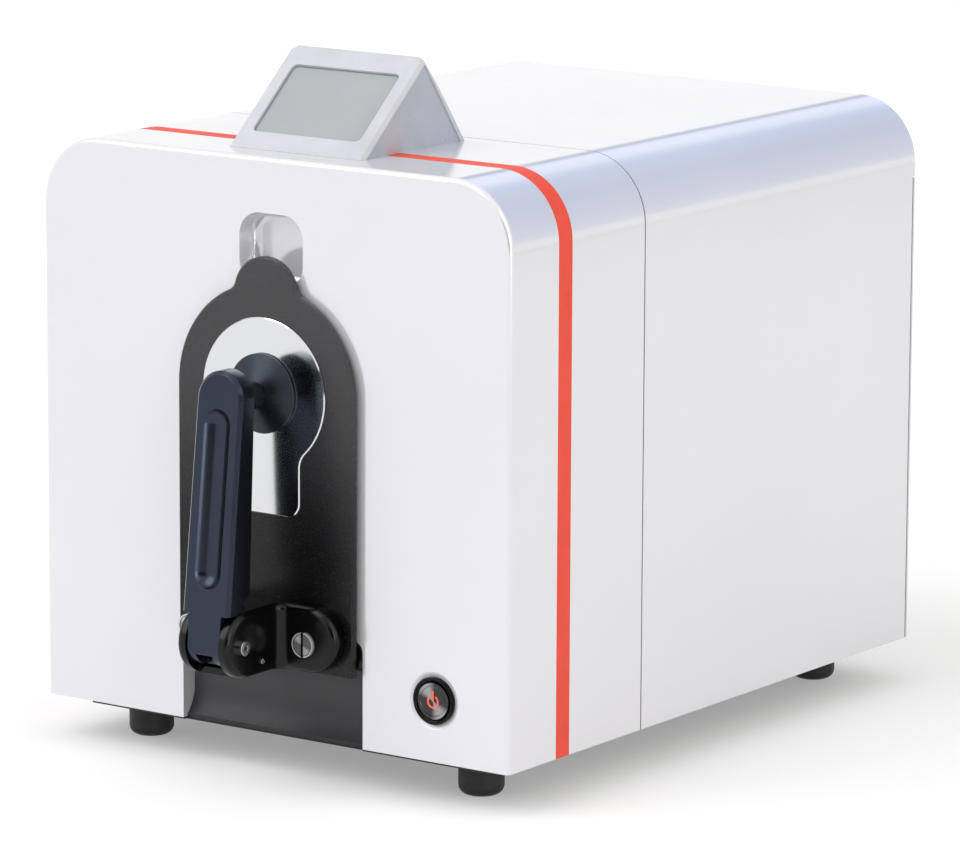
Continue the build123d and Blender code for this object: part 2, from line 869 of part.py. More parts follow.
with BuildPart() as bracket_screws:
    with BuildSketch(front_at(-screw_seat)):
        with Locations(screw_places):
            Circle(bracket_screw_radius)
    extrude(amount=screw_face - screw_seat)
    with BuildSketch(front_at(-screw_seat)):
        with Locations(screw_places):
            Circle(bracket_screw_shank_radius)
    extrude(amount=-bracket_screw_length)
    with BuildSketch(front_at(-screw_face)):
        with Locations(screw_places):
            Rectangle(screw_slot_width, 2 * bracket_screw_radius)
    extrude(amount=-screw_slot_depth, mode=Mode.SUBTRACT)
save(bracket_screws, "bracket_screws")

with BuildPart() as arm_pivot_pin:
    with BuildSketch(side_at(-cheek_outer)):
        with Locations(pivot_point):
            Circle(pivot_pin_radius)
    extrude(amount=2 * cheek_outer)
    with BuildSketch(side_at(cheek_outer)):
        with Locations(pivot_point):
            Circle(pivot_head_radius)
    extrude(amount=pivot_head_length)
    with BuildSketch(side_at(cheek_outer + pivot_head_length)):
        with Locations(pivot_point):
            RegularPolygon(pivot_socket_width / 2, 6, major_radius=False)
    extrude(amount=-pivot_socket_depth, mode=Mode.SUBTRACT)
save(arm_pivot_pin, "arm_pivot_pin")

with BuildPart() as arm_dowel:
    with BuildSketch(side_at(-cheek_outer)):
        with Locations((-lock_pin_reach, lock_pin_height)):
            Circle(lock_pin_radius)
            Circle(lock_pin_bore, mode=Mode.SUBTRACT)
    extrude(amount=2 * cheek_outer + lock_pin_proud)
save(arm_dowel, "arm_dowel")

spring_length = spring_turns * spring_pitch
spring_radius = pivot_pin_radius + spring_wire_radius + spring_play
with BuildPart() as arm_spring:
    with BuildLine() as coil:
        Helix(
            pitch=spring_pitch,
            height=spring_length,
            radius=spring_radius,
            center=(-spring_length / 2, front_y - pivot_reach, foot_drop + pivot_height),
            direction=(1, 0, 0),
        )
    with BuildSketch(Plane(origin=coil.line @ 0, z_dir=coil.line % 0)):
        Circle(spring_wire_radius)
    sweep()
save(arm_spring, "arm_spring")

# ================================================================ sample arm
lean_slope = math.tan(math.radians(arm_lean))
rear_slope = math.tan(math.radians(arm_rear_lean))
front_at_pivot = pivot_reach + hub_radius / math.cos(math.radians(arm_lean))


def arm_front_reach(height):
    """How far the arm's front plane stands in front of the cover at a height."""
    return front_at_pivot - (height - pivot_height) * lean_slope


def arm_rear(height):
    """How far the arm's rear plane stands in front of the cover at a height."""
    return arm_rear_reach - (height - pivot_height) * rear_slope


arm_blank_top = arm_top_height + arm_bevel
heel_reach = arm_rear(arm_heel_height) + arm_heel_run
stem_front_reach = arm_rear(port_height) + stem_seat
pad_back = pad_front + pad_rest_gap
cone_back = pad_back + pad_rim
cone_front = cone_back + pad_cone_height
stem_end = cone_front + pad_stem_gap

with BuildPart() as arm_lever:
    with BuildSketch(side_at(-arm_half_width_foot)):
        with BuildLine():
            Polyline(
                (-arm_front_reach(arm_foot_height), arm_foot_height),
                (-arm_front_reach(arm_blank_top), arm_blank_top),
                (-arm_rear(arm_blank_top), arm_blank_top),
                (-arm_rear(arm_heel_height), arm_heel_height),
                (-heel_reach, arm_heel_height - arm_heel_rise),
                (-heel_reach, arm_foot_height),
                close=True,
            )
        make_face()
        with Locations(cheek_point):
            Circle(bracket_radius + arm_foot_gap, mode=Mode.SUBTRACT)
    extrude(amount=2 * arm_half_width_foot)
    # tapered outline with a full round top
    with BuildSketch(front_at(-2 * pivot_reach)):
        with BuildLine():
            Polyline(
                (arm_half_width_top, arm_top_height - arm_half_width_top),
                (arm_half_width_foot, pivot_height),
                (-arm_half_width_foot, pivot_height),
                (-arm_half_width_top, arm_top_height - arm_half_width_top),
            )
            CenterArc((0, arm_top_height - arm_half_width_top), arm_half_width_top, 0, 180)
        make_face()
    extrude(amount=-2 * pivot_reach, mode=Mode.INTERSECT)
    blade_front = faces().sort_by(lambda face: face.normal_at().Y)[0]
    chamfer(blade_front.edges().sort_by(Axis.Z)[1:], arm_bevel)
    # hub between the cheeks and the web that joins it to the blade
    with BuildSketch(side_at(-hub_half_width)):
        with Locations(pivot_point):
            Circle(hub_radius)
        with BuildLine():
            Polyline(
                (-arm_front_reach(pivot_height), pivot_height),
                (-arm_front_reach(arm_heel_height), arm_heel_height),
                (-heel_reach, arm_heel_height),
                (-heel_reach, pivot_height),
                close=True,
            )
        make_face()
    extrude(amount=2 * hub_half_width)
    # finger groove: a long scoop with round ends
    groove_radius = (groove_half_width**2 + groove_depth**2) / (2 * groove_depth)
    groove_lift = groove_radius - groove_depth
    groove_end = math.sqrt(groove_radius**2 - groove_lift**2)
    groove_low = groove_bottom_height + groove_end
    groove_high = groove_top_height - groove_end
    low_centre = Vector(0, front_y - arm_front_reach(groove_low) - groove_lift, foot_drop + groove_low)
    high_centre = Vector(0, front_y - arm_front_reach(groove_high) - groove_lift, foot_drop + groove_high)
    with BuildSketch(Plane(origin=low_centre, z_dir=high_centre - low_centre)):
        Circle(groove_radius)
    extrude(amount=(high_centre - low_centre).length, mode=Mode.SUBTRACT)
    with Locations(low_centre, high_centre):
        Sphere(groove_radius, mode=Mode.SUBTRACT)
    # pivot bore, spring chamber and the slot below it
    with BuildSketch(side_at(-hub_half_width)):
        with Locations(pivot_point):
            Circle(pivot_pin_radius + running_clearance)
    extrude(amount=2 * hub_half_width, mode=Mode.SUBTRACT)
    with BuildSketch(side_at(-hub_slot_half_width)):
        with Locations(pivot_point):
            Circle(hub_slot_radius)
        with Locations((-pivot_reach, pivot_height - hub_slot_radius / 2)):
            Rectangle(2 * hub_radius, 2 * hub_radius, align=(Align.MAX, Align.MAX))
    extrude(amount=2 * hub_slot_half_width, mode=Mode.SUBTRACT)
    # seat of the pad's stem
    with BuildSketch(front_at(-stem_end)):
        with Locations(port_point):
            Circle(stem_radius + stem_fit)
    extrude(amount=stem_front_reach - stem_end, mode=Mode.SUBTRACT)
save(arm_lever, "arm_lever")

ball_reach = cone_front - ball_radius + pad_stem_gap / 2
with BuildPart() as pad_stem:
    with BuildSketch(front_at(-stem_end)):
        with Locations(port_point):
            Circle(stem_radius)
    extrude(amount=stem_front_reach - stem_end)
    with BuildSketch(front_at(-stem_end)):
        with Locations(port_point):
            Circle(neck_radius)
    extrude(amount=-(stem_end - ball_reach))
    with Locations((0, front_y - ball_reach, foot_drop + port_height)):
        Sphere(ball_radius)
save(pad_stem, "pad_stem")

pad_axis = Plane(origin=(0, front_y, foot_drop + port_height), x_dir=(1, 0, 0), z_dir=(0, 0, 1))
with BuildPart() as pad_disc:
    with BuildSketch(pad_axis):
        with BuildLine():
            Polyline(
                (0, -pad_back - pad_liner_thickness),
                (pad_liner_radius, -pad_back - pad_liner_thickness),
                (pad_liner_radius, -pad_back),
                (pad_radius, -pad_back),
                (pad_radius, -cone_back),
                (stem_radius, -cone_front),
                (0, -cone_front),
                close=True,
            )
        make_face()
    revolve(axis=Axis((0, front_y, foot_drop + port_height), (0, 1, 0)))
    rim_edges = edges().filter_by(GeomType.CIRCLE)
    rim_edges = rim_edges.filter_by(lambda edge: abs(edge.radius - pad_radius) < running_clearance)
    fillet(rim_edges, pad_rim / 3)
    with Locations((0, front_y - ball_reach, foot_drop + port_height)):
        Sphere(ball_radius + ball_clearance, mode=Mode.SUBTRACT)
save(pad_disc, "pad_disc")

with BuildPart() as pad_liner:
    with BuildSketch(front_at(-pad_back)):
        with Locations(port_point):
            Circle(pad_liner_radius)
    extrude(amount=pad_liner_thickness)
save(pad_liner, "pad_liner")

# ================================================================ display
display_origin = (0, front_y + display_front, foot_drop + cover_height)
display_slope = math.radians(display_angle)
display_face = Plane(
    origin=display_origin,
    x_dir=(1, 0, 0),
    z_dir=(0, -math.sin(display_slope), math.cos(display_slope)),
)
face_length = math.hypot(display_apex_depth - display_front, display_rise)
window_mid = window_bottom + window_height / 2


def wedge(inset):
    """Side view of the display housing, inset by a wall on its two sloping faces."""
    rear_run = display_rear - display_apex_depth
    front_shift = inset / math.sin(math.atan2(display_rise, display_apex_depth - display_front))
    rear_shift = inset / math.sin(math.atan2(display_rise, rear_run))
    scale = (display_rear - display_front - front_shift - rear_shift) / (display_rear - display_front)
    left = display_front + front_shift
    right = display_rear - rear_shift
    apex = left + (display_apex_depth - display_front) * scale
    with BuildLine() as outline:
        Polyline(
            (left, cover_height),
            (apex, cover_height + display_rise * scale),
            (right, cover_height),
            close=True,
        )
    make_face(outline.edges())


with BuildPart() as display_housing:
    with BuildSketch(side_at(-display_half_width)):
        wedge(0)
    extrude(amount=2 * display_half_width)
    with BuildSketch(display_face.offset(display_rise)):
        Rectangle(2 * display_half_width, face_length, align=(Align.CENTER, Align.MIN))
        fillet(vertices().group_by(Axis.Y)[-1], display_corner)
        Rectangle(2 * display_half_width, 3 * display_rise, align=(Align.CENTER, Align.MAX))
    extrude(amount=-3 * display_rise, mode=Mode.INTERSECT)
    sloping_face = faces().sort_by(lambda face: face.normal_at().Y)[0]
    chamfer(sloping_face.edges().filter_by(Axis.X, reverse=True), display_chamfer)
    with BuildSketch(side_at(-display_half_width)):
        wedge(display_wall)
    extrude(amount=2 * display_half_width, mode=Mode.SUBTRACT)
    with BuildSketch(display_face):
        with Locations((0, window_mid)):
            RectangleRounded(window_width, window_height, window_corner)
    extrude(amount=-2 * display_wall, mode=Mode.SUBTRACT)
save(display_housing, "display_housing")

side_panel_outer = display_half_width - display_side_inset
with BuildPart() as display_sides:
    for side in (-1, 1):
        with BuildSketch(side_at(side * side_panel_outer)):
            wedge(display_wall)
        extrude(amount=-side * display_side_thickness)
save(display_sides, "display_sides")

screen_plane = display_face.offset(-display_wall)
with BuildPart() as display_window:
    with BuildSketch(display_face.offset(-window_recess)):
        with Locations((0, window_mid)):
            RectangleRounded(window_width, window_height, window_corner)
    extrude(amount=-(display_wall - window_recess))
    with BuildSketch(screen_plane):
        with Locations((0, window_mid)):
            Rectangle(window_width + screen_margin, window_height + screen_margin)
    extrude(amount=-window_thickness)
save(display_window, "display_window")

with BuildPart() as display_screen:
    with BuildSketch(screen_plane.offset(-window_thickness)):
        with Locations((0, window_mid)):
            Rectangle(window_width, window_height)
    extrude(amount=-screen_thickness)
save(display_screen, "display_screen")

with BuildPart() as display_board:
    with BuildSketch(screen_plane.offset(-window_thickness - screen_thickness)):
        with Locations((0, window_mid)):
            Rectangle(window_width + 2 * display_board_margin, window_height - 2 * display_board_margin)
    extrude(amount=-display_board_thickness)
save(display_board, "display_board")

# ================================================================ power button
cap_back = button_thickness - button_proud
cap_floor = cap_back + button_travel + button_floor_gap

with BuildPart() as button_bezel:
    with BuildSketch(front_at(button_dish_depth)):
        with Locations(button_place):
            Circle(bezel_radius)
    extrude(amount=button_dish_depth + bezel_proud)
    fillet(faces().sort_by(Axis.Y)[0].edges(), bezel_edge)
    with BuildSketch(front_at(button_dish_depth)):
        with Locations(button_place):
            Circle(bezel_barrel_radius)
    extrude(amount=-bezel_barrel_length)
    with BuildSketch(front_at(-bezel_proud)):
        with Locations(button_place):
            Circle(bezel_inner_radius)
    extrude(amount=-(bezel_proud + cap_floor), mode=Mode.SUBTRACT)
    with BuildSketch(front_at(cap_floor)):
        with Locations(button_place):
            Circle(button_stem_radius + running_clearance)
    extrude(amount=-(button_stem_length + button_travel), mode=Mode.SUBTRACT)
save(button_bezel, "button_bezel")

with BuildPart() as power_button:
    with BuildSketch(front_at(-button_proud)):
        with Locations(button_place):
            Circle(button_radius)
    extrude(amount=-button_thickness)
    chamfer(faces().sort_by(Axis.Y)[0].edges(), bezel_edge / 2)
    with BuildSketch(front_at(cap_back)):
        with Locations(button_place):
            Circle(button_stem_radius)
    extrude(amount=-button_stem_length)
save(power_button, "power_button")

with BuildPart() as button_nut:
    with BuildSketch(front_at(front_wall)):
        with Locations(button_place):
            RegularPolygon(button_nut_radius, 6)
            Circle(bezel_barrel_radius, mode=Mode.SUBTRACT)
    extrude(amount=-button_nut_thickness)
save(button_nut, "button_nut")

# ================================================================ rear panel and connectors
panel_screw_places = [(side * panel_screw_x, height) for side in (-1, 1) for height in panel_screw_heights]
inlet_place = (inlet_x, inlet_height)
usb_place = (usb_x, usb_height)

with BuildPart() as rear_panel:
    with BuildSketch(front_at(body_depth)):
        arch(0)
        with Locations((0, panel_top)):
            Rectangle(
                body_width + cut_margin,
                cover_height,
                align=(Align.CENTER, Align.MIN),
                mode=Mode.SUBTRACT,
            )
        with Locations(panel_screw_places):
            Circle(panel_screw_radius + panel_screw_clearance, mode=Mode.SUBTRACT)
        with Locations(inlet_place):
            Rectangle(
                inlet_body_width + 2 * connector_gap,
                inlet_body_height + 2 * connector_gap,
                mode=Mode.SUBTRACT,
            )
        with Locations(usb_place):
            Rectangle(usb_width + 2 * connector_gap, usb_tall + 2 * connector_gap, mode=Mode.SUBTRACT)
        with Locations((0, vent_height)):
            with GridLocations(0, vent_pitch, 1, vent_count):
                SlotOverall(vent_length, vent_width, mode=Mode.SUBTRACT)
    extrude(amount=panel_thickness)
save(rear_panel, "rear_panel")

with BuildPart() as panel_screws:
    with BuildSketch(front_at(body_depth)):
        with Locations(panel_screw_places):
            Circle(panel_screw_head_radius)
    extrude(amount=-panel_screw_head_height)
    fillet(faces().sort_by(Axis.Y)[-len(panel_screw_places):].edges(), panel_screw_head_height / 2)
    with BuildSketch(front_at(body_depth)):
        with Locations(panel_screw_places):
            Circle(panel_screw_radius)
    extrude(amount=panel_screw_length)
save(panel_screws, "panel_screws")

mouth_floor = rear_reach - inlet_mouth_depth
with BuildPart() as power_inlet:
    with BuildSketch(front_at(body_depth)):
        with Locations(inlet_place):
            RectangleRounded(inlet_flange_width, inlet_flange_height, inlet_corner)
    extrude(amount=-connector_proud)
    with BuildSketch(front_at(body_depth)):
        with Locations(inlet_place):
            Rectangle(inlet_body_width, inlet_body_height)
    extrude(amount=inlet_body_depth)
    with BuildSketch(front_at(rear_reach)):
        with Locations(inlet_place):
            Rectangle(inlet_mouth_width, inlet_mouth_height)
        chamfer(vertices().group_by(Axis.Y)[-1], inlet_corner)
    extrude(amount=inlet_mouth_depth, mode=Mode.SUBTRACT)
save(power_inlet, "power_inlet")

with BuildPart() as inlet_pins:
    with BuildSketch(front_at(mouth_floor)):
        with Locations(
            (inlet_x, inlet_height + inlet_pin_rise),
            (inlet_x - inlet_pin_spread, inlet_height - inlet_pin_rise),
            (inlet_x + inlet_pin_spread, inlet_height - inlet_pin_rise),
        ):
            Rectangle(inlet_pin_width, inlet_pin_height)
    extrude(amount=-inlet_pin_length)
save(inlet_pins, "inlet_pins")

usb_face = body_depth + usb_proud
with BuildPart() as usb_socket:
    with BuildSketch(front_at(usb_face)):
        with Locations(usb_place):
            Rectangle(usb_width, usb_tall)
    extrude(amount=usb_depth)
    with BuildSketch(front_at(usb_face)):
        with Locations(usb_place):
            Rectangle(usb_width - 2 * usb_wall, usb_tall - 2 * usb_wall)
    extrude(amount=usb_depth - usb_wall, mode=Mode.SUBTRACT)
    with BuildSketch(front_at(usb_face - usb_depth)):
        with Locations(usb_place):
            Rectangle(usb_tongue_width, usb_tongue_height)
    extrude(amount=-(usb_wall + usb_tongue_length))
save(usb_socket, "usb_socket")

# ================================================================ optical bench
with BuildPart() as optical_bench:
    with BuildSketch(deck_at(bench_height)):
        with Locations((0, bench_front)):
            Rectangle(2 * bench_half_width, bench_rear - bench_front, align=(Align.CENTER, Align.MIN))
    extrude(amount=bench_thickness)
save(optical_bench, "optical_bench")

with BuildPart() as bench_posts:
    with BuildSketch(deck_at(base_thickness)):
        for depth in bench_post_depths:
            with Locations((-bench_post_x, depth), (bench_post_x, depth)):
                Circle(bench_post_radius)
    extrude(amount=bench_height - base_thickness)
save(bench_posts, "bench_posts")

# ================================================================ integrating sphere
ring_start = door_running_gap - plate_back

with BuildPart() as port_ring:
    with BuildSketch(front_at(ring_start)):
        with Locations(port_point):
            Circle(port_ring_radius)
            Circle(port_hole_radius, mode=Mode.SUBTRACT)
    extrude(amount=-(sphere_depth - ring_start))
    with Locations(sphere_centre):
        Sphere(sphere_radius, mode=Mode.SUBTRACT)
save(port_ring, "port_ring")

with BuildPart() as sphere_front_half:
    with Locations(sphere_centre):
        Sphere(sphere_radius)
    with BuildSketch(front_at(sphere_depth)):
        with Locations(port_point):
            Circle(sphere_flange_radius)
    extrude(amount=sphere_flange_thickness)
    with Locations(sphere_centre):
        Sphere(sphere_radius - sphere_wall, mode=Mode.SUBTRACT)
    with BuildSketch(front_at(sphere_depth)):
        with Locations(port_point):
            Circle(sphere_flange_radius)
    extrude(amount=-sphere_flange_radius, mode=Mode.SUBTRACT)
    with BuildSketch(front_at(sphere_depth)):
        with Locations(port_point):
            Circle(port_hole_radius)
    extrude(amount=sphere_flange_radius, mode=Mode.SUBTRACT)
save(sphere_front_half, "sphere_front_half")

with BuildPart() as sphere_rear_half:
    with Locations(sphere_centre):
        Sphere(sphere_radius)
    with BuildSketch(front_at(sphere_depth)):
        with Locations(port_point):
            Circle(sphere_flange_radius)
    extrude(amount=-sphere_flange_thickness)
    with Locations(sphere_centre):
        Sphere(sphere_radius - sphere_wall, mode=Mode.SUBTRACT)
    with BuildSketch(front_at(sphere_depth)):
        with Locations(port_point):
            Circle(sphere_flange_radius)
    extrude(amount=sphere_flange_radius, mode=Mode.SUBTRACT)
    # viewing port, specular port and lamp port
    with BuildSketch(beam_at(stage_front)):
        Circle(view_port_radius)
    extrude(amount=sphere_radius, mode=Mode.SUBTRACT)
    with BuildSketch(beam_at(stage_front, side=1)):
        Circle(specular_port_radius)
    extrude(amount=sphere_radius, mode=Mode.SUBTRACT)
    with BuildSketch(side_at(0)):
        with Locations((lamp_depth, port_height)):
            Circle(lamp_port_radius)
    extrude(amount=sphere_flange_radius, mode=Mode.SUBTRACT)
save(sphere_rear_half, "sphere_rear_half")

with BuildPart() as sphere_pedestal:
    with BuildSketch(deck_at(bench_top)):
        with Locations((0, sphere_depth)):
            Rectangle(pedestal_width, pedestal_length)
    extrude(amount=pedestal_height)
    with Locations(sphere_centre):
        Sphere(sphere_radius + sphere_seat_gap, mode=Mode.SUBTRACT)
    with BuildSketch(front_at(sphere_depth - sphere_flange_thickness - sphere_seat_gap)):
        with Locations(port_point):
            Circle(sphere_flange_radius + sphere_seat_gap)
    extrude(amount=-2 * (sphere_flange_thickness + sphere_seat_gap), mode=Mode.SUBTRACT)
save(sphere_pedestal, "sphere_pedestal")

# ================================================================ lamp and filter
lamp_point = (lamp_depth, port_height)
slot_half_size = filter_half_size + filter_gap

with BuildPart() as lamp_tube:
    with BuildSketch(side_at(lamp_tube_start)):
        with Locations(lamp_point):
            Circle(lamp_tube_radius)
    extrude(amount=lamp_tube_end - lamp_tube_start)
    # guide block of the filter
    with BuildSketch(side_at(guide_centre_x - guide_thickness / 2)):
        with Locations((lamp_depth, port_height - guide_half_width)):
            Rectangle(2 * guide_half_width, guide_half_width + guide_top, align=(Align.CENTER, Align.MIN))
    extrude(amount=guide_thickness)
    with BuildSketch(side_at(lamp_tube_start)):
        with Locations(lamp_point):
            Circle(lamp_port_radius)
    extrude(amount=lamp_tube_end - lamp_tube_start, mode=Mode.SUBTRACT)
    with BuildSketch(side_at(guide_centre_x - filter_thickness / 2 - filter_gap)):
        with Locations((lamp_depth, port_height - slot_half_size)):
            Rectangle(2 * slot_half_size, slot_half_size + guide_top, align=(Align.CENTER, Align.MIN))
    extrude(amount=filter_thickness + 2 * filter_gap, mode=Mode.SUBTRACT)
    with Locations(sphere_centre):
        Sphere(sphere_radius, mode=Mode.SUBTRACT)
save(lamp_tube, "lamp_tube")

with BuildPart() as uv_filter_frame:
    with BuildSketch(side_at(guide_centre_x - filter_thickness / 2)):
        with Locations(lamp_point):
            Rectangle(2 * filter_half_size, 2 * filter_half_size)
            Circle(filter_glass_radius, mode=Mode.SUBTRACT)
    extrude(amount=filter_thickness)
save(uv_filter_frame, "uv_filter_frame")

with BuildPart() as uv_filter_glass:
    with BuildSketch(side_at(guide_centre_x - filter_thickness / 2)):
        with Locations(lamp_point):
            Circle(filter_glass_radius)
    extrude(amount=filter_thickness)
save(uv_filter_glass, "uv_filter_glass")

with BuildPart() as lamp_housing:
    with BuildSketch(side_at(lamp_tube_end)):
        with Locations(lamp_point):
            Rectangle(2 * lamp_housing_half_size, 2 * lamp_housing_half_size)
    extrude(amount=lamp_housing_end - lamp_tube_end)
    with BuildSketch(side_at(lamp_tube_end + lamp_housing_wall)):
        with Locations(lamp_point):
            Rectangle(
                2 * (lamp_housing_half_size - lamp_housing_wall),
                2 * (lamp_housing_half_size - lamp_housing_wall),
            )
    extrude(amount=lamp_housing_end - lamp_tube_end - 2 * lamp_housing_wall, mode=Mode.SUBTRACT)
    with BuildSketch(side_at(lamp_tube_end)):
        with Locations(lamp_point):
            Circle(lamp_port_radius)
    extrude(amount=2 * lamp_housing_wall, mode=Mode.SUBTRACT)
save(lamp_housing, "lamp_housing")

with BuildPart() as flash_lamp:
    with BuildSketch(deck_at(port_height - lamp_bulb_length / 2)):
        with Locations((lamp_x, lamp_depth)):
            Circle(lamp_bulb_radius)
    extrude(amount=lamp_bulb_length)
    fillet(faces().sort_by(Axis.Z)[-1].edges(), lamp_bulb_radius / 2)
    with BuildSketch(deck_at(port_height - lamp_bulb_length / 2)):
        with Locations((lamp_x, lamp_depth)):
            Circle(lamp_base_radius)
    extrude(amount=-(lamp_housing_half_size - lamp_housing_wall - lamp_bulb_length / 2))
save(flash_lamp, "flash_lamp")

# ================================================================ lens stage
rail_places = [(-rail_x, -rail_drop), (rail_x, -rail_drop)]
screw_place = (0, -screw_drop)

with BuildPart() as stage_brackets:
    for distance in (stage_front, stage_rear):
        with BuildSketch(beam_at(distance)):
            with Locations((0, -bench_drop)):
                Rectangle(
                    2 * stage_half_width,
                    bench_drop + stage_top_rise,
                    align=(Align.CENTER, Align.MIN),
                )
            Circle(stage_window_radius, mode=Mode.SUBTRACT)
            with Locations(rail_places):
                Circle(rail_radius, mode=Mode.SUBTRACT)
            with Locations(screw_place):
                Circle(screw_journal_radius + running_clearance, mode=Mode.SUBTRACT)
        extrude(amount=-stage_thickness)
save(stage_brackets, "stage_brackets")

with BuildPart() as lens_rails:
    with BuildSketch(beam_at(stage_front)):
        with Locations(rail_places):
            Circle(rail_radius)
    extrude(amount=-(stage_back - stage_front))
save(lens_rails, "lens_rails")

carriage_start = stage_front + stage_thickness + carriage_start_gap
with BuildPart() as lens_carriage:
    with BuildSketch(beam_at(carriage_start)):
        with Locations((0, -carriage_tail)):
            Rectangle(
                2 * carriage_half_width,
                carriage_tail + carriage_rise,
                align=(Align.CENTER, Align.MIN),
            )
        fillet(vertices(), rail_radius)
        Circle(lens_bore_radius, mode=Mode.SUBTRACT)
        with Locations(rail_places):
            Circle(rail_radius + running_clearance, mode=Mode.SUBTRACT)
        with Locations(screw_place):
            Circle(screw_radius + running_clearance, mode=Mode.SUBTRACT)
    extrude(amount=-carriage_thickness)
save(lens_carriage, "lens_carriage")

lens_plane = beam_at(carriage_start + carriage_thickness / 2)
with BuildPart() as zoom_lens:
    with BuildSketch(Plane(origin=lens_plane.origin, x_dir=lens_plane.x_dir, z_dir=(0, 0, 1))):
        with BuildLine():
            ThreePointArc(
                (-lens_bore_radius, lens_edge / 2),
                (0, lens_edge / 2 + lens_bulge),
                (lens_bore_radius, lens_edge / 2),
            )
            Line((lens_bore_radius, lens_edge / 2), (lens_bore_radius, -lens_edge / 2))
            ThreePointArc(
                (lens_bore_radius, -lens_edge / 2),
                (0, -lens_edge / 2 - lens_bulge),
                (-lens_bore_radius, -lens_edge / 2),
            )
            Line((-lens_bore_radius, -lens_edge / 2), (-lens_bore_radius, lens_edge / 2))
        make_face()
        Rectangle(2 * lens_bore_radius, 4 * lens_bulge, align=(Align.MAX, Align.CENTER), mode=Mode.SUBTRACT)
    revolve(axis=Axis(lens_plane.origin, lens_plane.z_dir))
save(zoom_lens, "zoom_lens")

with BuildPart() as lens_screw:
    with BuildSketch(beam_at(stage_front)):
        with Locations(screw_place):
            Circle(screw_journal_radius)
    extrude(amount=-(stage_back - stage_front + motor_bore_depth))
    with BuildSketch(beam_at(stage_front + stage_thickness + filter_gap)):
        with Locations(screw_place):
            Circle(screw_radius)
    extrude(amount=-(stage_span - 2 * filter_gap))
save(lens_screw, "lens_screw")

with BuildPart() as lens_motor:
    with BuildSketch(beam_at(stage_back)):
        with Locations(screw_place):
            RectangleRounded(2 * motor_half_size, 2 * motor_half_size, rail_radius)
    extrude(amount=-motor_length)
    with BuildSketch(beam_at(stage_back)):
        with Locations(screw_place):
            Circle(screw_journal_radius + running_clearance)
    extrude(amount=-(motor_bore_depth + filter_gap), mode=Mode.SUBTRACT)
save(lens_motor, "lens_motor")

# ================================================================ specular flap


def far_side():
    """Distance from the sample to where the mirrored beam leaves the sphere."""
    run = sphere_depth + pad_front
    ahead = run * math.cos(math.radians(beam_angle))
    return ahead + math.sqrt(ahead**2 - run**2 + sphere_radius**2)


flap_start = far_side() + flap_clearance
flap_pivot = (flap_pivot_x, flap_pivot_rise)
flap_arm_length = math.hypot(flap_pivot_x, flap_pivot_rise)
flap_arm_angle = math.degrees(math.atan2(flap_pivot_rise, flap_pivot_x))
flap_plate_back = flap_start + flap_hub_length + flap_bracket_gap

with BuildPart() as specular_flap:
    with BuildSketch(beam_at(flap_start, side=1)):
        Circle(flap_radius)
        with Locations(Location((0, 0, 0), flap_arm_angle)):
            Rectangle(flap_arm_length, flap_arm_width, align=(Align.MIN, Align.CENTER))
        with Locations(flap_pivot):
            Circle(flap_hub_radius)
    extrude(amount=-flap_thickness)
    with BuildSketch(beam_at(flap_start, side=1)):
        with Locations(flap_pivot):
            Circle(flap_hub_radius)
    extrude(amount=-flap_hub_length)
    with BuildSketch(beam_at(flap_start, side=1)):
        with Locations(flap_pivot):
            Circle(flap_shaft_radius)
    extrude(amount=-(flap_plate_back - flap_start + flap_bracket_thickness + flap_motor_length / 2))
save(specular_flap, "specular_flap")

with BuildPart() as flap_bracket:
    with BuildSketch(beam_at(flap_plate_back, side=1)):
        with Locations((flap_pivot_x, -bench_drop)):
            Rectangle(
                flap_bracket_width,
                bench_drop + flap_pivot_rise + flap_bracket_width / 2,
                align=(Align.CENTER, Align.MIN),
            )
        with Locations(flap_pivot):
            Circle(flap_shaft_radius + running_clearance, mode=Mode.SUBTRACT)
    extrude(amount=-flap_bracket_thickness)
save(flap_bracket, "flap_bracket")

with BuildPart() as flap_motor:
    with BuildSketch(beam_at(flap_plate_back + flap_bracket_thickness, side=1)):
        with Locations(flap_pivot):
            Circle(flap_motor_radius)
    extrude(amount=-flap_motor_length)
    with BuildSketch(beam_at(flap_plate_back + flap_bracket_thickness, side=1)):
        with Locations(flap_pivot):
            Circle(flap_shaft_radius + running_clearance)
    extrude(amount=-(flap_motor_length / 2 + filter_gap), mode=Mode.SUBTRACT)
save(flap_motor, "flap_motor")

# ================================================================ spectrometer
spectrometer_size = (2 * spectrometer_half_width, spectrometer_drop + spectrometer_rise)
with BuildPart() as spectrometer_body:
    with BuildSketch(beam_at(stage_back)):
        with Locations((0, -spectrometer_drop)):
            Rectangle(*spectrometer_size, align=(Align.CENTER, Align.MIN))
    extrude(amount=-spectrometer_length)
    with BuildSketch(beam_at(stage_back + spectrometer_wall)):
        with Locations((0, spectrometer_wall - spectrometer_drop)):
            Rectangle(
                2 * (spectrometer_half_width - spectrometer_wall),
                spectrometer_drop + spectrometer_rise,
                align=(Align.CENTER, Align.MIN),
            )
    extrude(amount=-(spectrometer_length - 2 * spectrometer_wall), mode=Mode.SUBTRACT)
    with BuildSketch(beam_at(stage_back)):
        Circle(slit_radius)
    extrude(amount=-2 * spectrometer_wall, mode=Mode.SUBTRACT)
save(spectrometer_body, "spectrometer_body")

with BuildPart() as spectrometer_lid:
    with BuildSketch(beam_at(stage_back)):
        with Locations((0, spectrometer_rise)):
            Rectangle(
                2 * spectrometer_half_width,
                spectrometer_lid_thickness,
                align=(Align.CENTER, Align.MIN),
            )
    extrude(amount=-spectrometer_length)
save(spectrometer_lid, "spectrometer_lid")

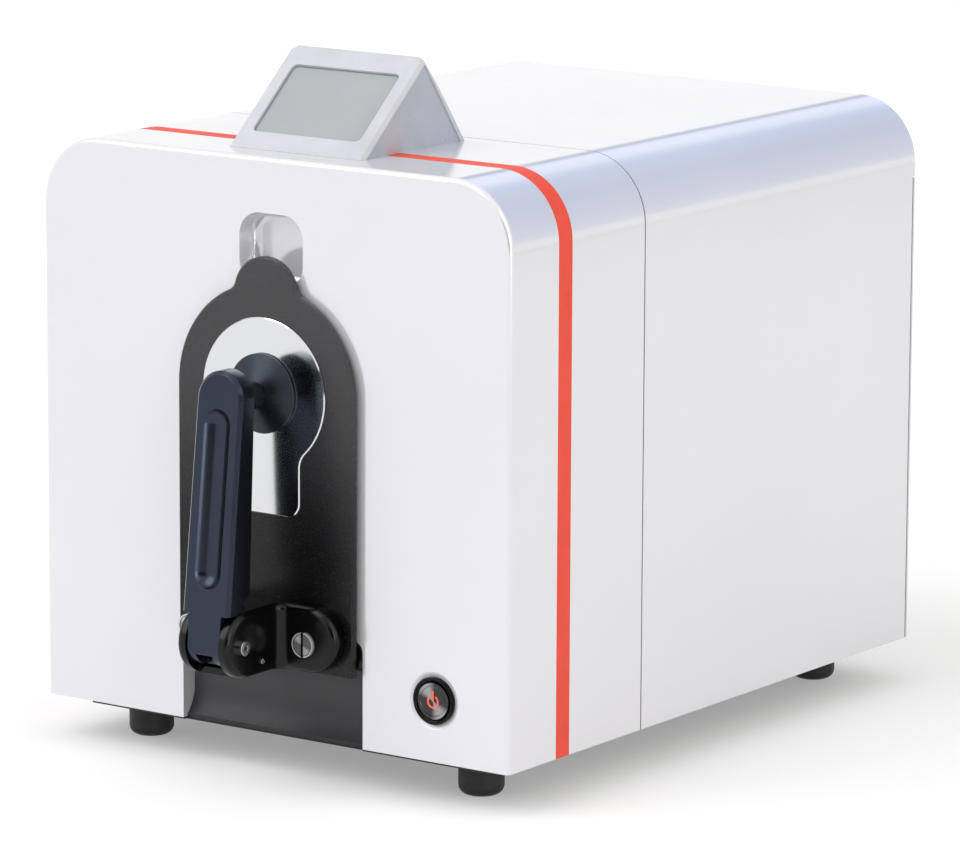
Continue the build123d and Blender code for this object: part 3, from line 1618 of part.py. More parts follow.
with BuildPart() as grating:
    with BuildSketch(beam_at(stage_back + spectrometer_length - spectrometer_wall)):
        Circle(grating_radius)
    extrude(amount=grating_thickness)
save(grating, "grating")

# ================================================================ electronics
board_mid = (board_left + board_width / 2, board_front + board_length / 2)
with BuildPart() as board_standoffs:
    with BuildSketch(deck_at(bench_top)):
        with Locations(board_mid):
            with GridLocations(board_width - 2 * board_margin, board_length - 2 * board_margin, 2, 2):
                Circle(board_standoff_radius)
    extrude(amount=board_standoff)
save(board_standoffs, "board_standoffs")

with BuildPart() as main_board:
    with BuildSketch(deck_at(bench_top + board_standoff)):
        with Locations(board_mid):
            Rectangle(board_width, board_length)
    extrude(amount=board_thickness)
    with BuildSketch(deck_at(bench_top + board_standoff + board_thickness)):
        with Locations(board_mid):
            with GridLocations(chip_spread, chip_spread, 2, 2):
                Rectangle(chip_size, chip_size)
    extrude(amount=chip_height)
save(main_board, "main_board")

with BuildPart() as power_supply:
    with BuildSketch(deck_at(bench_top)):
        with Locations((supply_left, supply_front)):
            Rectangle(supply_width, supply_length, align=(Align.MIN, Align.MIN))
    extrude(amount=supply_height)
    with BuildSketch(deck_at(bench_top + supply_wall)):
        with Locations((supply_left + supply_wall, supply_front + supply_wall)):
            Rectangle(
                supply_width - 2 * supply_wall,
                supply_length - 2 * supply_wall,
                align=(Align.MIN, Align.MIN),
            )
    extrude(amount=supply_height - 2 * supply_wall, mode=Mode.SUBTRACT)
    with BuildSketch(deck_at(bench_top + supply_height - supply_wall)):
        with Locations((supply_left + supply_width / 2, supply_front + supply_length / 2)):
            with GridLocations(0, 2 * supply_vent_width, 1, supply_vent_count):
                SlotOverall(supply_width / 2, supply_vent_width)
    extrude(amount=supply_wall, mode=Mode.SUBTRACT)
save(power_supply, "power_supply")

with BuildPart() as flash_capacitor:
    with BuildSketch(front_at(capacitor_front)):
        with Locations((capacitor_x, bench_top + capacitor_radius)):
            Circle(capacitor_radius)
    extrude(amount=-capacitor_length)
    fillet(faces().sort_by(Axis.Y)[-1].edges(), capacitor_radius / 8)
save(flash_capacitor, "flash_capacitor")
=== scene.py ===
"""Looks of the benchtop colorimeter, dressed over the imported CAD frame. Metres, CAD frame."""

import math

import bmesh
import bpy
from mathutils import Matrix, Vector


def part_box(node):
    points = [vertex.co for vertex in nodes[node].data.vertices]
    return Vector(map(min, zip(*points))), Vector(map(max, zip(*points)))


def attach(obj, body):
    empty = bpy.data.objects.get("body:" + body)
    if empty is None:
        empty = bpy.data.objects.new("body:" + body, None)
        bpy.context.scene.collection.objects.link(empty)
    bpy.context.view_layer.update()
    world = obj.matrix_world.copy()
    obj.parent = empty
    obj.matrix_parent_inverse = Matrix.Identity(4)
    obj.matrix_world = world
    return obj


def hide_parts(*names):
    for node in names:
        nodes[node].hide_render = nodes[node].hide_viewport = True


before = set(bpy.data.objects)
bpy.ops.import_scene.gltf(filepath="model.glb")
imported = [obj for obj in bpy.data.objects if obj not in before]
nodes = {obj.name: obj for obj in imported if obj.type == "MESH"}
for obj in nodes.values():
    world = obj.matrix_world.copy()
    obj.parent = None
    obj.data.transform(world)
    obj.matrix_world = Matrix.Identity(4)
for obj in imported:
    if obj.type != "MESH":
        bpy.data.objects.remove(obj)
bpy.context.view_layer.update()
MM = 0.001
cover_low, cover_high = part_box("front_cover")


# ---------------------------------------------------------------- camera
# solved from the photograph: angles in radians, place in metres, lens in millimetres
yaw, pitch, roll = 0.61699388, -0.19206521, 0.00431588
camera_place = (1.6101, -2.2510, 0.68158)
focal_length, sensor_width, far_end = 222.945, 36, 200

forward = Vector((-math.sin(yaw) * math.cos(pitch), math.cos(yaw) * math.cos(pitch), math.sin(pitch)))
right = Vector((math.cos(yaw), math.sin(yaw), 0))
up = right.cross(forward)
right_r = math.cos(roll) * right + math.sin(roll) * up
up_r = -math.sin(roll) * right + math.cos(roll) * up
camera_data = bpy.data.cameras.new("camera")
camera_data.lens = focal_length
camera_data.sensor_width = sensor_width
camera_data.clip_end = far_end
camera = bpy.data.objects.new("camera", camera_data)
turn = Matrix((right_r, up_r, -forward)).transposed().to_4x4()
camera.matrix_world = Matrix.Translation(camera_place) @ turn
bpy.context.scene.collection.objects.link(camera)
bpy.context.scene.camera = camera
bpy.context.scene.view_settings.view_transform = "Standard"


# ---------------------------------------------------------------- material kit
def add_node(tree, kind, inputs=None, **settings):
    """Adds a node to a tree. Each input is a value, or a socket that feeds it."""
    made = tree.nodes.new(kind)
    for key, value in settings.items():
        setattr(made, key, value)
    for key, value in (inputs or {}).items():
        if isinstance(value, bpy.types.NodeSocket):
            tree.links.new(value, made.inputs[key])
        else:
            made.inputs[key].default_value = value
    return made


class Finish:
    """A procedural material: a Principled shader and the patterns that drive it."""

    def __init__(self, name, **sockets):
        self.mat = bpy.data.materials.new(name)
        self.mat.use_nodes = True
        self.tree = self.mat.node_tree
        self.shader = self.tree.nodes["Principled BSDF"]
        self.coord = self.node("ShaderNodeTexCoord").outputs["Object"]
        self.normal = None
        for key, value in sockets.items():
            self.shader.inputs[key.replace("_", " ")].default_value = value

    def node(self, kind, inputs=None, **settings):
        return add_node(self.tree, kind, inputs, **settings)

    def link(self, source, socket):
        self.tree.links.new(source, self.shader.inputs[socket])

    def stretch(self, scale):
        """Object coordinates, scaled apart along the three axes."""
        return self.node("ShaderNodeMapping", {"Vector": self.coord, "Scale": scale}).outputs[0]

    def noise(self, scale, detail=3.0, roughness=0.5, vector=None):
        made = self.node(
            "ShaderNodeTexNoise",
            {"Vector": vector or self.coord, "Scale": scale, "Detail": detail, "Roughness": roughness},
        )
        return made.outputs[0]

    def cells(self, scale, vector=None, **settings):
        return self.node("ShaderNodeTexVoronoi", {"Vector": vector or self.coord, "Scale": scale}, **settings)

    def span(self, value, low, high, start=0.3, end=0.7):
        """Maps a pattern's range start..end to low..high."""
        made = self.node(
            "ShaderNodeMapRange",
            {"Value": value, "From Min": start, "From Max": end, "To Min": low, "To Max": high},
        )
        return made.outputs[0]

    def shades(self, value, dark, light, start=0.3, end=0.7):
        """A colour between two close shades, by a pattern."""
        made = self.node("ShaderNodeValToRGB", {"Fac": value})
        made.color_ramp.elements[0].position = start
        made.color_ramp.elements[1].position = end
        made.color_ramp.elements[0].color = (*dark, 1)
        made.color_ramp.elements[1].color = (*light, 1)
        return made.outputs[0]

    def blend(self, factor, first, second):
        made = self.node("ShaderNodeMix", {0: factor, 6: first, 7: second}, data_type="RGBA")
        return made.outputs[2]

    def maths(self, operation, first, second=0.0):
        return self.node("ShaderNodeMath", {0: first, 1: second}, operation=operation).outputs[0]

    def off_axis(self, x0, z0):
        """X and Z measured from an axis along Y through (x0, z0), and the distance from that axis."""
        place = self.node("ShaderNodeSeparateXYZ", {0: self.coord}).outputs
        x = self.maths("SUBTRACT", place["X"], x0)
        z = self.maths("SUBTRACT", place["Z"], z0)
        square = self.maths("ADD", self.maths("MULTIPLY", x, x), self.maths("MULTIPLY", z, z))
        return x, z, self.maths("SQRT", square)

    def colour(self, value):
        self.link(value, "Base Color")

    def rough(self, value):
        self.link(value, "Roughness")

    def bump(self, height, distance, strength=1.0):
        inputs = {"Height": height, "Distance": distance, "Strength": strength}
        if self.normal is not None:
            inputs["Normal"] = self.normal
        self.normal = self.node("ShaderNodeBump", inputs).outputs[0]
        self.link(self.normal, "Normal")

    def soft_edges(self, radius):
        self.normal = self.node("ShaderNodeBevel", {"Radius": radius}, samples=4).outputs[0]
        self.link(self.normal, "Normal")


def tint(levels):
    """Three sRGB levels, 0 to 255, as linear light."""
    return tuple(((v / 255 + 0.055) / 1.055) ** 2.4 if v > 10 else v / 255 / 12.92 for v in levels)


def shade(colour, factor):
    return tuple(min(1.0, c * factor) for c in colour)


def enamel(name, colour, roughness, edge=0.0, peel=0.000012, **sockets):
    """Stove enamel on sheet: faint orange peel, roughness and tone that wander a little."""
    made = Finish(name, **sockets)
    if edge:
        made.soft_edges(edge)
    made.colour(made.shades(made.noise(9, 2), shade(colour, 0.985), shade(colour, 1.012)))
    made.rough(made.span(made.noise(60, 3), roughness * 0.9, roughness * 1.1))
    made.bump(made.noise(700, 2), peel, 0.5)
    return made


def moulded(name, colour, roughness, edge=0.0, grain=0.00002, scale=2600, **sockets):
    """Moulded plastic or rubber: fine spark-eroded grain."""
    made = Finish(name, **sockets)
    if edge:
        made.soft_edges(edge)
    made.colour(made.shades(made.noise(40, 3), shade(colour, 0.93), shade(colour, 1.07)))
    made.rough(made.span(made.noise(300, 3), roughness * 0.85, roughness * 1.15))
    made.bump(made.noise(scale, 2), grain, 0.5)
    return made


def metal(name, colour, roughness, along=(1, 1, 1), edge=0.0, scale=900):
    """Bare or plated metal: streaks along one direction, and a little cloud in the roughness."""
    made = Finish(name, Metallic=1.0)
    if edge:
        made.soft_edges(edge)
    streaks = made.noise(scale, 4, 0.6, made.stretch(along))
    made.colour(made.shades(streaks, shade(colour, 0.93), shade(colour, 1.05)))
    made.rough(made.span(streaks, roughness * 0.8, roughness * 1.25))
    made.bump(streaks, 0.000004, 0.6)
    return made


def turned(
    name, colour, roughness, centres, fan=(0.4, 1.3), fan_turn=125, groove_at=None, slot_half=0.0, share=1.0
):
    """A face turned on a lathe, round an axis along Y: fine rings, and a painted sheen in its colour that
    fans out from its centre.

    centres holds (x, z) of one face, or of two faces at one height, left and right of the middle.
    """
    lines_per_metre = 9000
    groove_shade = (0.012, 0.012, 0.012, 1)
    slot_shade = (0.008, 0.008, 0.008, 1)
    made = Finish(name, Metallic=share, Anisotropic=0.6)
    middle, height = centres[0]
    if len(centres) == 2:
        across = made.node("ShaderNodeSeparateXYZ", {0: made.coord}).outputs["X"]
        right_one = made.maths("GREATER_THAN", across, 0.0)
        offset = made.maths("MULTIPLY", right_one, centres[1][0] - middle)
        middle = made.maths("ADD", offset, middle)
    x, z, radius = made.off_axis(middle, height)
    tangent = made.node("ShaderNodeCombineXYZ", {"X": made.maths("MULTIPLY", z, -1.0), "Z": x}).outputs[0]
    made.link(made.node("ShaderNodeVectorMath", {0: tangent}, operation="NORMALIZE").outputs[0], "Tangent")
    outward = made.maths("MULTIPLY", radius, lines_per_metre)
    lines = made.noise(1.0, 2, 0.5, made.node("ShaderNodeCombineXYZ", {"X": outward}).outputs[0])
    # painted sheen: the colour is brighter in two opposite sectors round the axis, and darker between them
    angle = made.maths("SUBTRACT", made.maths("ARCTAN2", z, x), math.radians(fan_turn))
    sheen_lobes = made.maths("COSINE", made.maths("MULTIPLY", angle, 2.0))
    dim, bright = shade(colour, fan[0]), shade(colour, fan[1])
    face = made.shades(made.span(sheen_lobes, 0.0, 1.0, 0.1, 0.95), dim, bright, 0.0, 1.0)
    line_tone = made.shades(lines, (0.88,) * 3, (1.0,) * 3)
    face = made.node(
        "ShaderNodeMix", {0: 1.0, 6: face, 7: line_tone}, data_type="RGBA", blend_type="MULTIPLY"
    ).outputs[2]
    # painted shade in the groove, and a painted highlight on the rim outside it
    if groove_at:
        groove_start, groove_end = groove_at
        inside = made.maths("GREATER_THAN", radius, groove_start)
        ring = made.maths("MULTIPLY", inside, made.maths("LESS_THAN", radius, groove_end))
        face = made.blend(made.maths("GREATER_THAN", radius, groove_end), face, (*bright, 1))
        face = made.blend(ring, face, groove_shade)
    # painted shade in the slot
    if slot_half:
        slot_shade_here = made.maths("LESS_THAN", made.maths("ABSOLUTE", x), slot_half)
        face = made.blend(slot_shade_here, face, slot_shade)
    made.colour(face)
    made.rough(made.span(lines, roughness * 0.8, roughness * 1.2))
    made.bump(lines, 0.000004, 0.5)
    return made


# ---------------------------------------------------------------- finishes
case_white = enamel("case_white", tint((238, 238, 243)), 0.15, peel=0.0000004, Metallic=0.3)
band_coral = moulded("band_coral", tint((255, 92, 72)), 0.5, grain=0.000003, Specular_IOR_Level=0.15)
display_white = moulded("display_white", tint((211, 213, 221)), 0.42, edge=0.0004, grain=0.000003)
display_side_grey = moulded("display_side_grey", tint((184, 192, 203)), 0.24, grain=0.000003)

screen_green = Finish("screen_green", Specular_IOR_Level=0.3)
screen_green.colour(
    screen_green.shades(screen_green.noise(26, 2), tint((181, 189, 190)), tint((187, 194, 195)))
)
screen_green.rough(screen_green.span(screen_green.noise(900, 2), 0.35, 0.45))
screen_green.bump(screen_green.noise(3500, 1), 0.000004, 0.4)

screen_glass = Finish("screen_glass", Alpha=0.9, Specular_IOR_Level=0.3)
screen_glass.colour(
    screen_glass.shades(screen_glass.noise(30, 2), tint((182, 190, 191)), tint((189, 196, 197)))
)
screen_glass.rough(screen_glass.span(screen_glass.noise(1500, 2), 0.16, 0.22))
screen_glass.bump(screen_glass.noise(4000, 1), 0.000002, 0.3)

# the door's colour darkens toward its foot, between two heights, as painted shade; a few flakes in its
# coating are painted lighter, as painted glints
door_light_from, door_dark_below = 0.2, 0.1
flake_scale, flake_rarity, flake_reach = 3000, 0.975, 0.33
door_graphite = Finish("door_graphite", Specular_IOR_Level=0.3)
door_graphite.soft_edges(0.0004)
door_tone = door_graphite.shades(door_graphite.noise(35, 3), tint((66, 66, 68)), tint((70, 70, 72)))
door_place = door_graphite.node("ShaderNodeSeparateXYZ", {0: door_graphite.coord}).outputs
door_painted_shade = door_graphite.node(
    "ShaderNodeMapRange",
    {"Value": door_place["Z"], "From Min": door_light_from, "From Max": door_dark_below},
    interpolation_type="SMOOTHSTEP",
).outputs[0]
# painted shade: near black toward the door's foot
door_tone = door_graphite.blend(door_painted_shade, door_tone, (*tint((14, 14, 16)), 1))
flakes = door_graphite.cells(flake_scale, feature="F1").outputs
flake_draw = door_graphite.node("ShaderNodeSeparateColor", {0: flakes["Color"]}).outputs[0]
flake_here = door_graphite.maths("GREATER_THAN", flake_draw, flake_rarity)
flake_size = door_graphite.maths("LESS_THAN", flakes["Distance"], flake_reach)
flake_glint = door_graphite.maths("MULTIPLY", flake_here, flake_size)
# flakes painted lighter and bluish: painted glints in the coating
door_graphite.colour(door_graphite.blend(flake_glint, door_tone, (*tint((112, 120, 138)), 1)))
door_graphite.rough(door_graphite.span(door_graphite.noise(2200, 2), 0.24, 0.32))
door_graphite.bump(door_graphite.noise(2400, 3), 0.0000008, 0.4)

# the recess darkens toward its foot as painted shade, and is near black below the covers' edge
recess_light_from = 0.045
recess_grey = Finish("recess_grey", Specular_IOR_Level=0.3)
recess_tone = recess_grey.shades(recess_grey.noise(25, 3), tint((74, 74, 77)), tint((81, 81, 84)))
recess_place = recess_grey.node("ShaderNodeSeparateXYZ", {0: recess_grey.coord}).outputs
recess_painted_shade = recess_grey.span(recess_place["Z"], 1.0, 0.0, cover_low.z, recess_light_from)
# painted shade toward the recess's foot
recess_tone = recess_grey.blend(recess_painted_shade, recess_tone, (*tint((44, 44, 47)), 1))
under_edge = recess_grey.maths("LESS_THAN", recess_place["Z"], cover_low.z)
recess_grey.colour(recess_grey.blend(under_edge, recess_tone, (0.003, 0.003, 0.003, 1)))
recess_grey.rough(recess_grey.span(recess_grey.noise(900, 2), 0.4, 0.5))
recess_grey.bump(recess_grey.noise(1800, 2), 0.00002, 0.4)

lever_blue = Finish("lever_blue", Metallic=0.95)
lever_blue.soft_edges(0.0005)
lever_blue.colour(lever_blue.shades(lever_blue.noise(30, 3), (0.038, 0.0465, 0.065), (0.044, 0.0535, 0.074)))
lever_blue.rough(lever_blue.span(lever_blue.noise(1400, 3), 0.2, 0.25))
lever_blue.bump(lever_blue.noise(3000, 2), 0.000006, 0.4)

pad_black = Finish("pad_black", Metallic=0.75)
pad_black.soft_edges(0.0003)
pad_black.colour(pad_black.shades(pad_black.noise(45, 3), (0.026, 0.033, 0.044), (0.033, 0.042, 0.055)))
pad_black.rough(pad_black.span(pad_black.noise(1300, 2), 0.26, 0.34))
pad_black.bump(pad_black.noise(2600, 2), 0.000005, 0.4)

bracket_black = enamel(
    "bracket_black", (0.002, 0.002, 0.0025), 0.18, edge=0.0004, peel=0.000001, Specular_IOR_Level=0.28
)
ear_black = enamel("ear_black", (0.004, 0.004, 0.0045), 0.35, edge=0.0003, Specular_IOR_Level=0.25)
foot_rubber = moulded("foot_rubber", (0.008, 0.008, 0.009), 0.55, grain=0.00003, scale=1500)
screw_left, screw_right, screw_height = -37.2 * MM, 28.0 * MM, 68.0 * MM
screw_steel = turned(
    "screw_steel", (0.5, 0.5, 0.5), 0.2, ((screw_left, screw_height), (screw_right, screw_height)),
    groove_at=(4.75 * MM, 5.1 * MM), slot_half=0.62 * MM, share=0.35,
)
pin_steel = metal("pin_steel", (0.78, 0.78, 0.77), 0.16, edge=0.0003)
zinc = metal("zinc", (0.6, 0.61, 0.63), 0.34)
spring_wire = metal("spring_wire", (0.4, 0.4, 0.4), 0.3)
bench_alloy = metal("bench_alloy", (0.66, 0.67, 0.69), 0.38, along=(1, 0.06, 1), scale=1400)
supply_steel = metal("supply_steel", (0.55, 0.56, 0.57), 0.42)
motor_case = enamel("motor_case", (0.03, 0.03, 0.033), 0.4)
coating_white = moulded("coating_white", (0.93, 0.93, 0.92), 0.85, grain=0.00004, scale=1800)
ceramic_white = moulded("ceramic_white", (0.9, 0.9, 0.88), 0.45)
rear_grey = enamel("rear_grey", tint((226, 227, 229)), 0.38, peel=0.00002)

board_green = Finish("board_green", Coat_Weight=0.4, Coat_Roughness=0.2)
traces = board_green.cells(160, vector=board_green.stretch((1, 0.35, 1)), feature="F1", distance="MANHATTAN")
board_green.colour(
    board_green.shades(traces.outputs["Distance"], (0.012, 0.09, 0.035), (0.02, 0.16, 0.06), 0.1, 0.6)
)
board_green.rough(board_green.span(board_green.noise(300, 2), 0.35, 0.5))
board_green.bump(traces.outputs["Distance"], 0.00002, 0.3)


def glass(name, colour, alpha):
    """Glass as a clear coat of colour: alpha says how much of it hides what is behind."""
    made = Finish(name, Alpha=alpha, Specular_IOR_Level=0.8)
    made.colour(made.shades(made.noise(30, 2), shade(colour, 0.96), colour))
    made.rough(made.span(made.noise(200, 2), 0.03, 0.06))
    made.bump(made.noise(120, 1), 0.000002, 0.2)
    return made


def wear(node_name, material):
    """Gives a node of the frame one material."""
    materials = nodes[node_name].data.materials
    materials.clear()
    materials.append(material)


filter_yellow = glass("filter_yellow", (0.9, 0.85, 0.35), 0.45)
lens_coated = glass("lens_coated", (0.78, 0.86, 0.95), 0.4)

dress = (
    (case_white, ("front_cover", "rear_cover")),
    (band_coral, ("accent_stripe",)),
    (display_white, ("display_housing",)),
    (display_side_grey, ("display_sides",)),
    (screen_green, ("display_screen",)),
    (screen_glass, ("display_window",)),
    (board_green, ("display_board", "main_board")),
    (door_graphite, ("door_plate",)),
    (recess_grey, ("recess_panel", "base_plate")),
    (lever_blue, ("arm_lever",)),
    (pad_black, ("pad_disc", "pad_stem")),
    (bracket_black, ("arm_bracket",)),
    (ear_black, ("hinge_ears",)),
    (foot_rubber, ("feet",)),
    (screw_steel, ("bracket_screws",)),
    (pin_steel, ("arm_pivot_pin", "arm_dowel", "hinge_pins", "lens_rails", "lens_screw")),
    (zinc, ("foot_screws", "panel_screws", "board_standoffs", "bench_posts", "button_nut", "usb_socket")),
    (spring_wire, ("arm_spring",)),
    (bench_alloy, (
        "optical_bench", "stage_brackets", "flap_bracket", "sphere_pedestal", "lens_carriage", "inlet_pins",
    )),
    (supply_steel, ("power_supply",)),
    (motor_case, ("lens_motor", "flap_motor", "flash_capacitor")),
    (coating_white, ("sphere_front_half", "sphere_rear_half", "pad_liner")),
    (ceramic_white, ("port_ring",)),
    (rear_grey, ("rear_panel",)),
    (filter_yellow, ("uv_filter_glass",)),
    (lens_coated, ("zoom_lens", "grating")),
)
for finish, dressed in dress:
    for node_name in dressed:
        wear(node_name, finish.mat)

# the frame's plain black: the aperture plate, the inlet and the flash lamp keep their plain material as well
plain_black = bpy.data.materials["black_anodised"]
for node_name in (
    "lamp_tube", "lamp_housing", "spectrometer_body", "spectrometer_lid", "uv_filter_frame", "specular_flap",
):
    wear(node_name, plain_black)


# ---------------------------------------------------------------- mesh kit
def piece_from(name, mesh_data, finish, body, sharp=35):
    """Makes a piece that rides on a body from mesh data, which it frees. Edges over sharp degrees show."""
    mesh = bpy.data.meshes.new(name)
    mesh_data.normal_update()
    mesh_data.to_mesh(mesh)
    mesh_data.free()
    for polygon in mesh.polygons:
        polygon.use_smooth = True
    mesh.set_sharp_from_angle(angle=math.radians(sharp))
    mesh.materials.append(finish.mat)
    made = bpy.data.objects.new(name, mesh)
    bpy.context.scene.collection.objects.link(made)
    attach(made, body)
    return made


def lathe(profile, centre, segments=96, along_x=False):
    """Turns a profile of (radius, forward) pairs, in millimetres, round an axis through centre.

    The axis runs along -Y, to the front, or along X, to the right.
    """
    made = bmesh.new()
    rings = []
    for radius, forward_mm in profile:
        ring = []
        for i in range(segments if radius > 0 else 1):
            a = 2 * math.pi * i / segments
            across, rise = radius * MM * math.cos(a), radius * MM * math.sin(a)
            if along_x:
                place = (centre[0] + forward_mm * MM, centre[1] + across, centre[2] + rise)
            else:
                place = (centre[0] + across, centre[1] - forward_mm * MM, centre[2] + rise)
            ring.append(made.verts.new(place))
        rings.append(ring * (segments // len(ring)))
    for low, high in zip(rings, rings[1:]):
        for i in range(segments):
            j = (i + 1) % segments
            corners = []
            for vertex in (low[i], low[j], high[j], high[i]):
                if vertex not in corners:
                    corners.append(vertex)
            if len(corners) > 2:
                made.faces.new(corners)
    bmesh.ops.recalc_face_normals(made, faces=made.faces)
    return made


def bar(section, start, end):
    """A solid bar along X from start to end, with a closed section of (y, z) points."""
    made = bmesh.new()
    ends = [[made.verts.new((x, y, z)) for y, z in section] for x in (start, end)]
    for i in range(len(section)):
        j = (i + 1) % len(section)
        made.faces.new((ends[0][i], ends[0][j], ends[1][j], ends[1][i]))
    made.faces.new(ends[0])
    made.faces.new(list(reversed(ends[1])))
    bmesh.ops.recalc_face_normals(made, faces=made.faces)
    return made


# ---------------------------------------------------------------- power button
button_low, button_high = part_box("power_button")
bezel_low, bezel_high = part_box("button_bezel")
button_x = (button_low.x + button_high.x) / 2
button_z = (button_low.z + button_high.z) / 2
cap_front = button_low.y
bezel_front = bezel_low.y

# the case's gloss turns satin inside the button's dish
dish_radius, dish_fade, satin = 13.3 * MM, 0.3 * MM, 0.4
from_button = case_white.off_axis(button_x, button_z)[2]
in_dish = case_white.span(from_button, satin, 0.0, dish_radius - dish_fade, dish_radius)
gloss = case_white.shader.inputs["Roughness"].links[0].from_socket
case_white.rough(case_white.maths("ADD", gloss, in_dish))

bezel_black = turned("bezel_black", (0.02, 0.02, 0.022), 0.16, ((button_x, button_z),), fan=(0.7, 1.3))
cap_dark = turned("cap_dark", (0.17, 0.17, 0.172), 0.25, ((button_x, button_z),), fan=(0.35, 2.2))

bezel_depth = (bezel_high.y - bezel_front) / MM
bezel_profile = [
    (8.8, -bezel_depth), (8.8, -3.0), (8.8, -1.25), (9.0, -0.95), (9.35, -0.72), (9.55, -0.62),
    (9.75, -0.25), (10.0, -0.05), (10.25, 0.0), (10.55, -0.06), (10.8, -0.22), (10.95, -0.5), (11.0, -0.85),
    (11.0, -2.25), (9.45, -2.3), (9.45, -bezel_depth), (8.8, -bezel_depth),
]
bezel_mesh = lathe(bezel_profile, (button_x, bezel_front, button_z))
bezel = piece_from("bezel_ring", bezel_mesh, bezel_black, "chassis")
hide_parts("button_bezel")

cap_depth = (button_high.y - cap_front) / MM
cap_profile = [
    (0, -0.22), (2.6, -0.21), (5.0, -0.17), (6.6, -0.1), (6.75, -0.24), (6.95, -0.24), (7.1, -0.04),
    (7.4, 0.0), (8.22, 0.0), (8.38, -0.05), (8.47, -0.18), (8.5, -0.4), (8.5, -3.5), (3.0, -3.5),
    (3.0, -cap_depth), (0, -cap_depth),
]
cap_mesh = lathe(cap_profile, (button_x, cap_front, button_z))
cap = piece_from("button_cap", cap_mesh, cap_dark, "button", sharp=25)
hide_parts("power_button")

# the symbol glows a little by emission: painted light, it is no lamp
symbol_red = Finish("symbol_red", Emission_Strength=0.25, Emission_Color=(*tint((255, 96, 70)), 1))
symbol_red.colour(symbol_red.shades(symbol_red.noise(500, 2), tint((250, 96, 74)), tint((255, 116, 92))))
symbol_red.rough(symbol_red.span(symbol_red.noise(900, 2), 0.35, 0.45))
symbol_red.bump(symbol_red.noise(2500, 2), 0.000004, 0.4)


def flat_stroke(made, points, half, front, thick):
    """A flat raised stroke with round ends along a line of (x, z) points, in metres."""
    left, right_side = [], []
    count = len(points)
    for i, (x, z) in enumerate(points):
        ax, az = points[max(i - 1, 0)]
        bx, bz = points[min(i + 1, count - 1)]
        length = math.hypot(bx - ax, bz - az)
        nx, nz = -(bz - az) / length, (bx - ax) / length
        left.append((x + nx * half, z + nz * half))
        right_side.append((x - nx * half, z - nz * half))
    outline = list(left)
    for end, other, side in ((points[-1], points[-2], right_side[::-1]), (points[0], points[1], [])):
        direction = math.atan2(end[1] - other[1], end[0] - other[0])
        for k in range(1, 8):
            a = math.pi / 2 - math.pi * k / 8
            outline.append((end[0] + half * math.cos(direction + a), end[1] + half * math.sin(direction + a)))
        outline += side
    front_loop = [made.verts.new((x, front, z)) for x, z in outline]
    back_loop = [made.verts.new((x, front + thick, z)) for x, z in outline]
    made.faces.new(front_loop)
    made.faces.new(list(reversed(back_loop)))
    for i in range(len(outline)):
        j = (i + 1) % len(outline)
        made.faces.new((front_loop[i], back_loop[i], back_loop[j], front_loop[j]))


symbol_drop = 0.2 * MM
symbol_radius, arc_half, bar_half = 2.75 * MM, 0.42 * MM, 0.4 * MM
bar_start, bar_length = 0.3, 4.2
arc_steps, bar_steps = 40, 6
opening = math.radians(38)
symbol_front, symbol_thick = cap_front + 0.05 * MM, 0.25 * MM
symbol_z = button_z - symbol_drop
arc_angles = [opening + (2 * math.pi - 2 * opening) * i / arc_steps for i in range(arc_steps + 1)]
arc_points = [
    (button_x + symbol_radius * math.sin(a), symbol_z + symbol_radius * math.cos(a)) for a in arc_angles
]
bar_points = [
    (button_x, symbol_z + (bar_start + bar_length * k / bar_steps) * MM) for k in range(bar_steps + 1)
]
symbol = bmesh.new()
flat_stroke(symbol, arc_points, arc_half, symbol_front, symbol_thick)
flat_stroke(symbol, bar_points, bar_half, symbol_front, symbol_thick)
bmesh.ops.recalc_face_normals(symbol, faces=symbol.faces)
piece_from("power_symbol", symbol, symbol_red, "button")


# ---------------------------------------------------------------- turned marks in the ends of the pins, their near black painted shade of the socket hollows
# the sockets' near black is painted shade of their hollows
socket_shade = metal("socket_shade", (0.05, 0.05, 0.05), 0.4)
for pin_name, size in (("arm_pivot_pin", 1.0), ("arm_dowel", 0.5)):
    pin_low, pin_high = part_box(pin_name)
    pin_end = (pin_high.x, (pin_low.y + pin_high.y) / 2, (pin_low.z + pin_high.z) / 2)
    end_profile = [
        (0, -0.1 * size), (0.55 * size, -0.06 * size), (0.85 * size, 0.02), (1.05 * size, 0.02),
        (1.1 * size, -0.2), (0, -0.2),
    ]
    end_mesh = lathe(end_profile, pin_end, segments=32, along_x=True)
    piece_from(pin_name + "_socket", end_mesh, socket_shade, "door")


# ---------------------------------------------------------------- seal round the display glass, whose grey is painted shade of the gap round the glass
# the housing's sloping face, from the wedge's rise and from its depths at the foot and at the top
wedge_rise, wedge_foot, wedge_top = 41.5, 66.0, 17.5
window_margin, window_half = 10.6, 21.0
slope = math.atan2(wedge_rise, wedge_foot - wedge_top)
housing_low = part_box("display_housing")[0]
face_origin = Vector((0, housing_low.y, housing_low.z))
face_up = Vector((0, math.cos(slope), math.sin(slope)))
face_out = Vector((0, -math.sin(slope), math.cos(slope)))


def rounded_loop(width, height, corner, steps=8):
    """A rectangle with round corners, as (u, v) points round its middle."""
    loop = []
    for cx, cy, start in (
        (width / 2 - corner, height / 2 - corner, 0), (-width / 2 + corner, height / 2 - corner, 90),
        (-width / 2 + corner, -height / 2 + corner, 180), (width / 2 - corner, -height / 2 + corner, 270),
    ):
        for k in range(steps + 1):
            a = math.radians(start + 90 * k / steps)
            loop.append((cx + corner * math.cos(a), cy + corner * math.sin(a)))
    return loop


def on_face(u, v, out):
    """A point on the sloping face: across, up the slope and out of it, in millimetres."""
    return face_origin + Vector((u * MM, 0, 0)) + face_up * (v * MM) + face_out * (out * MM)


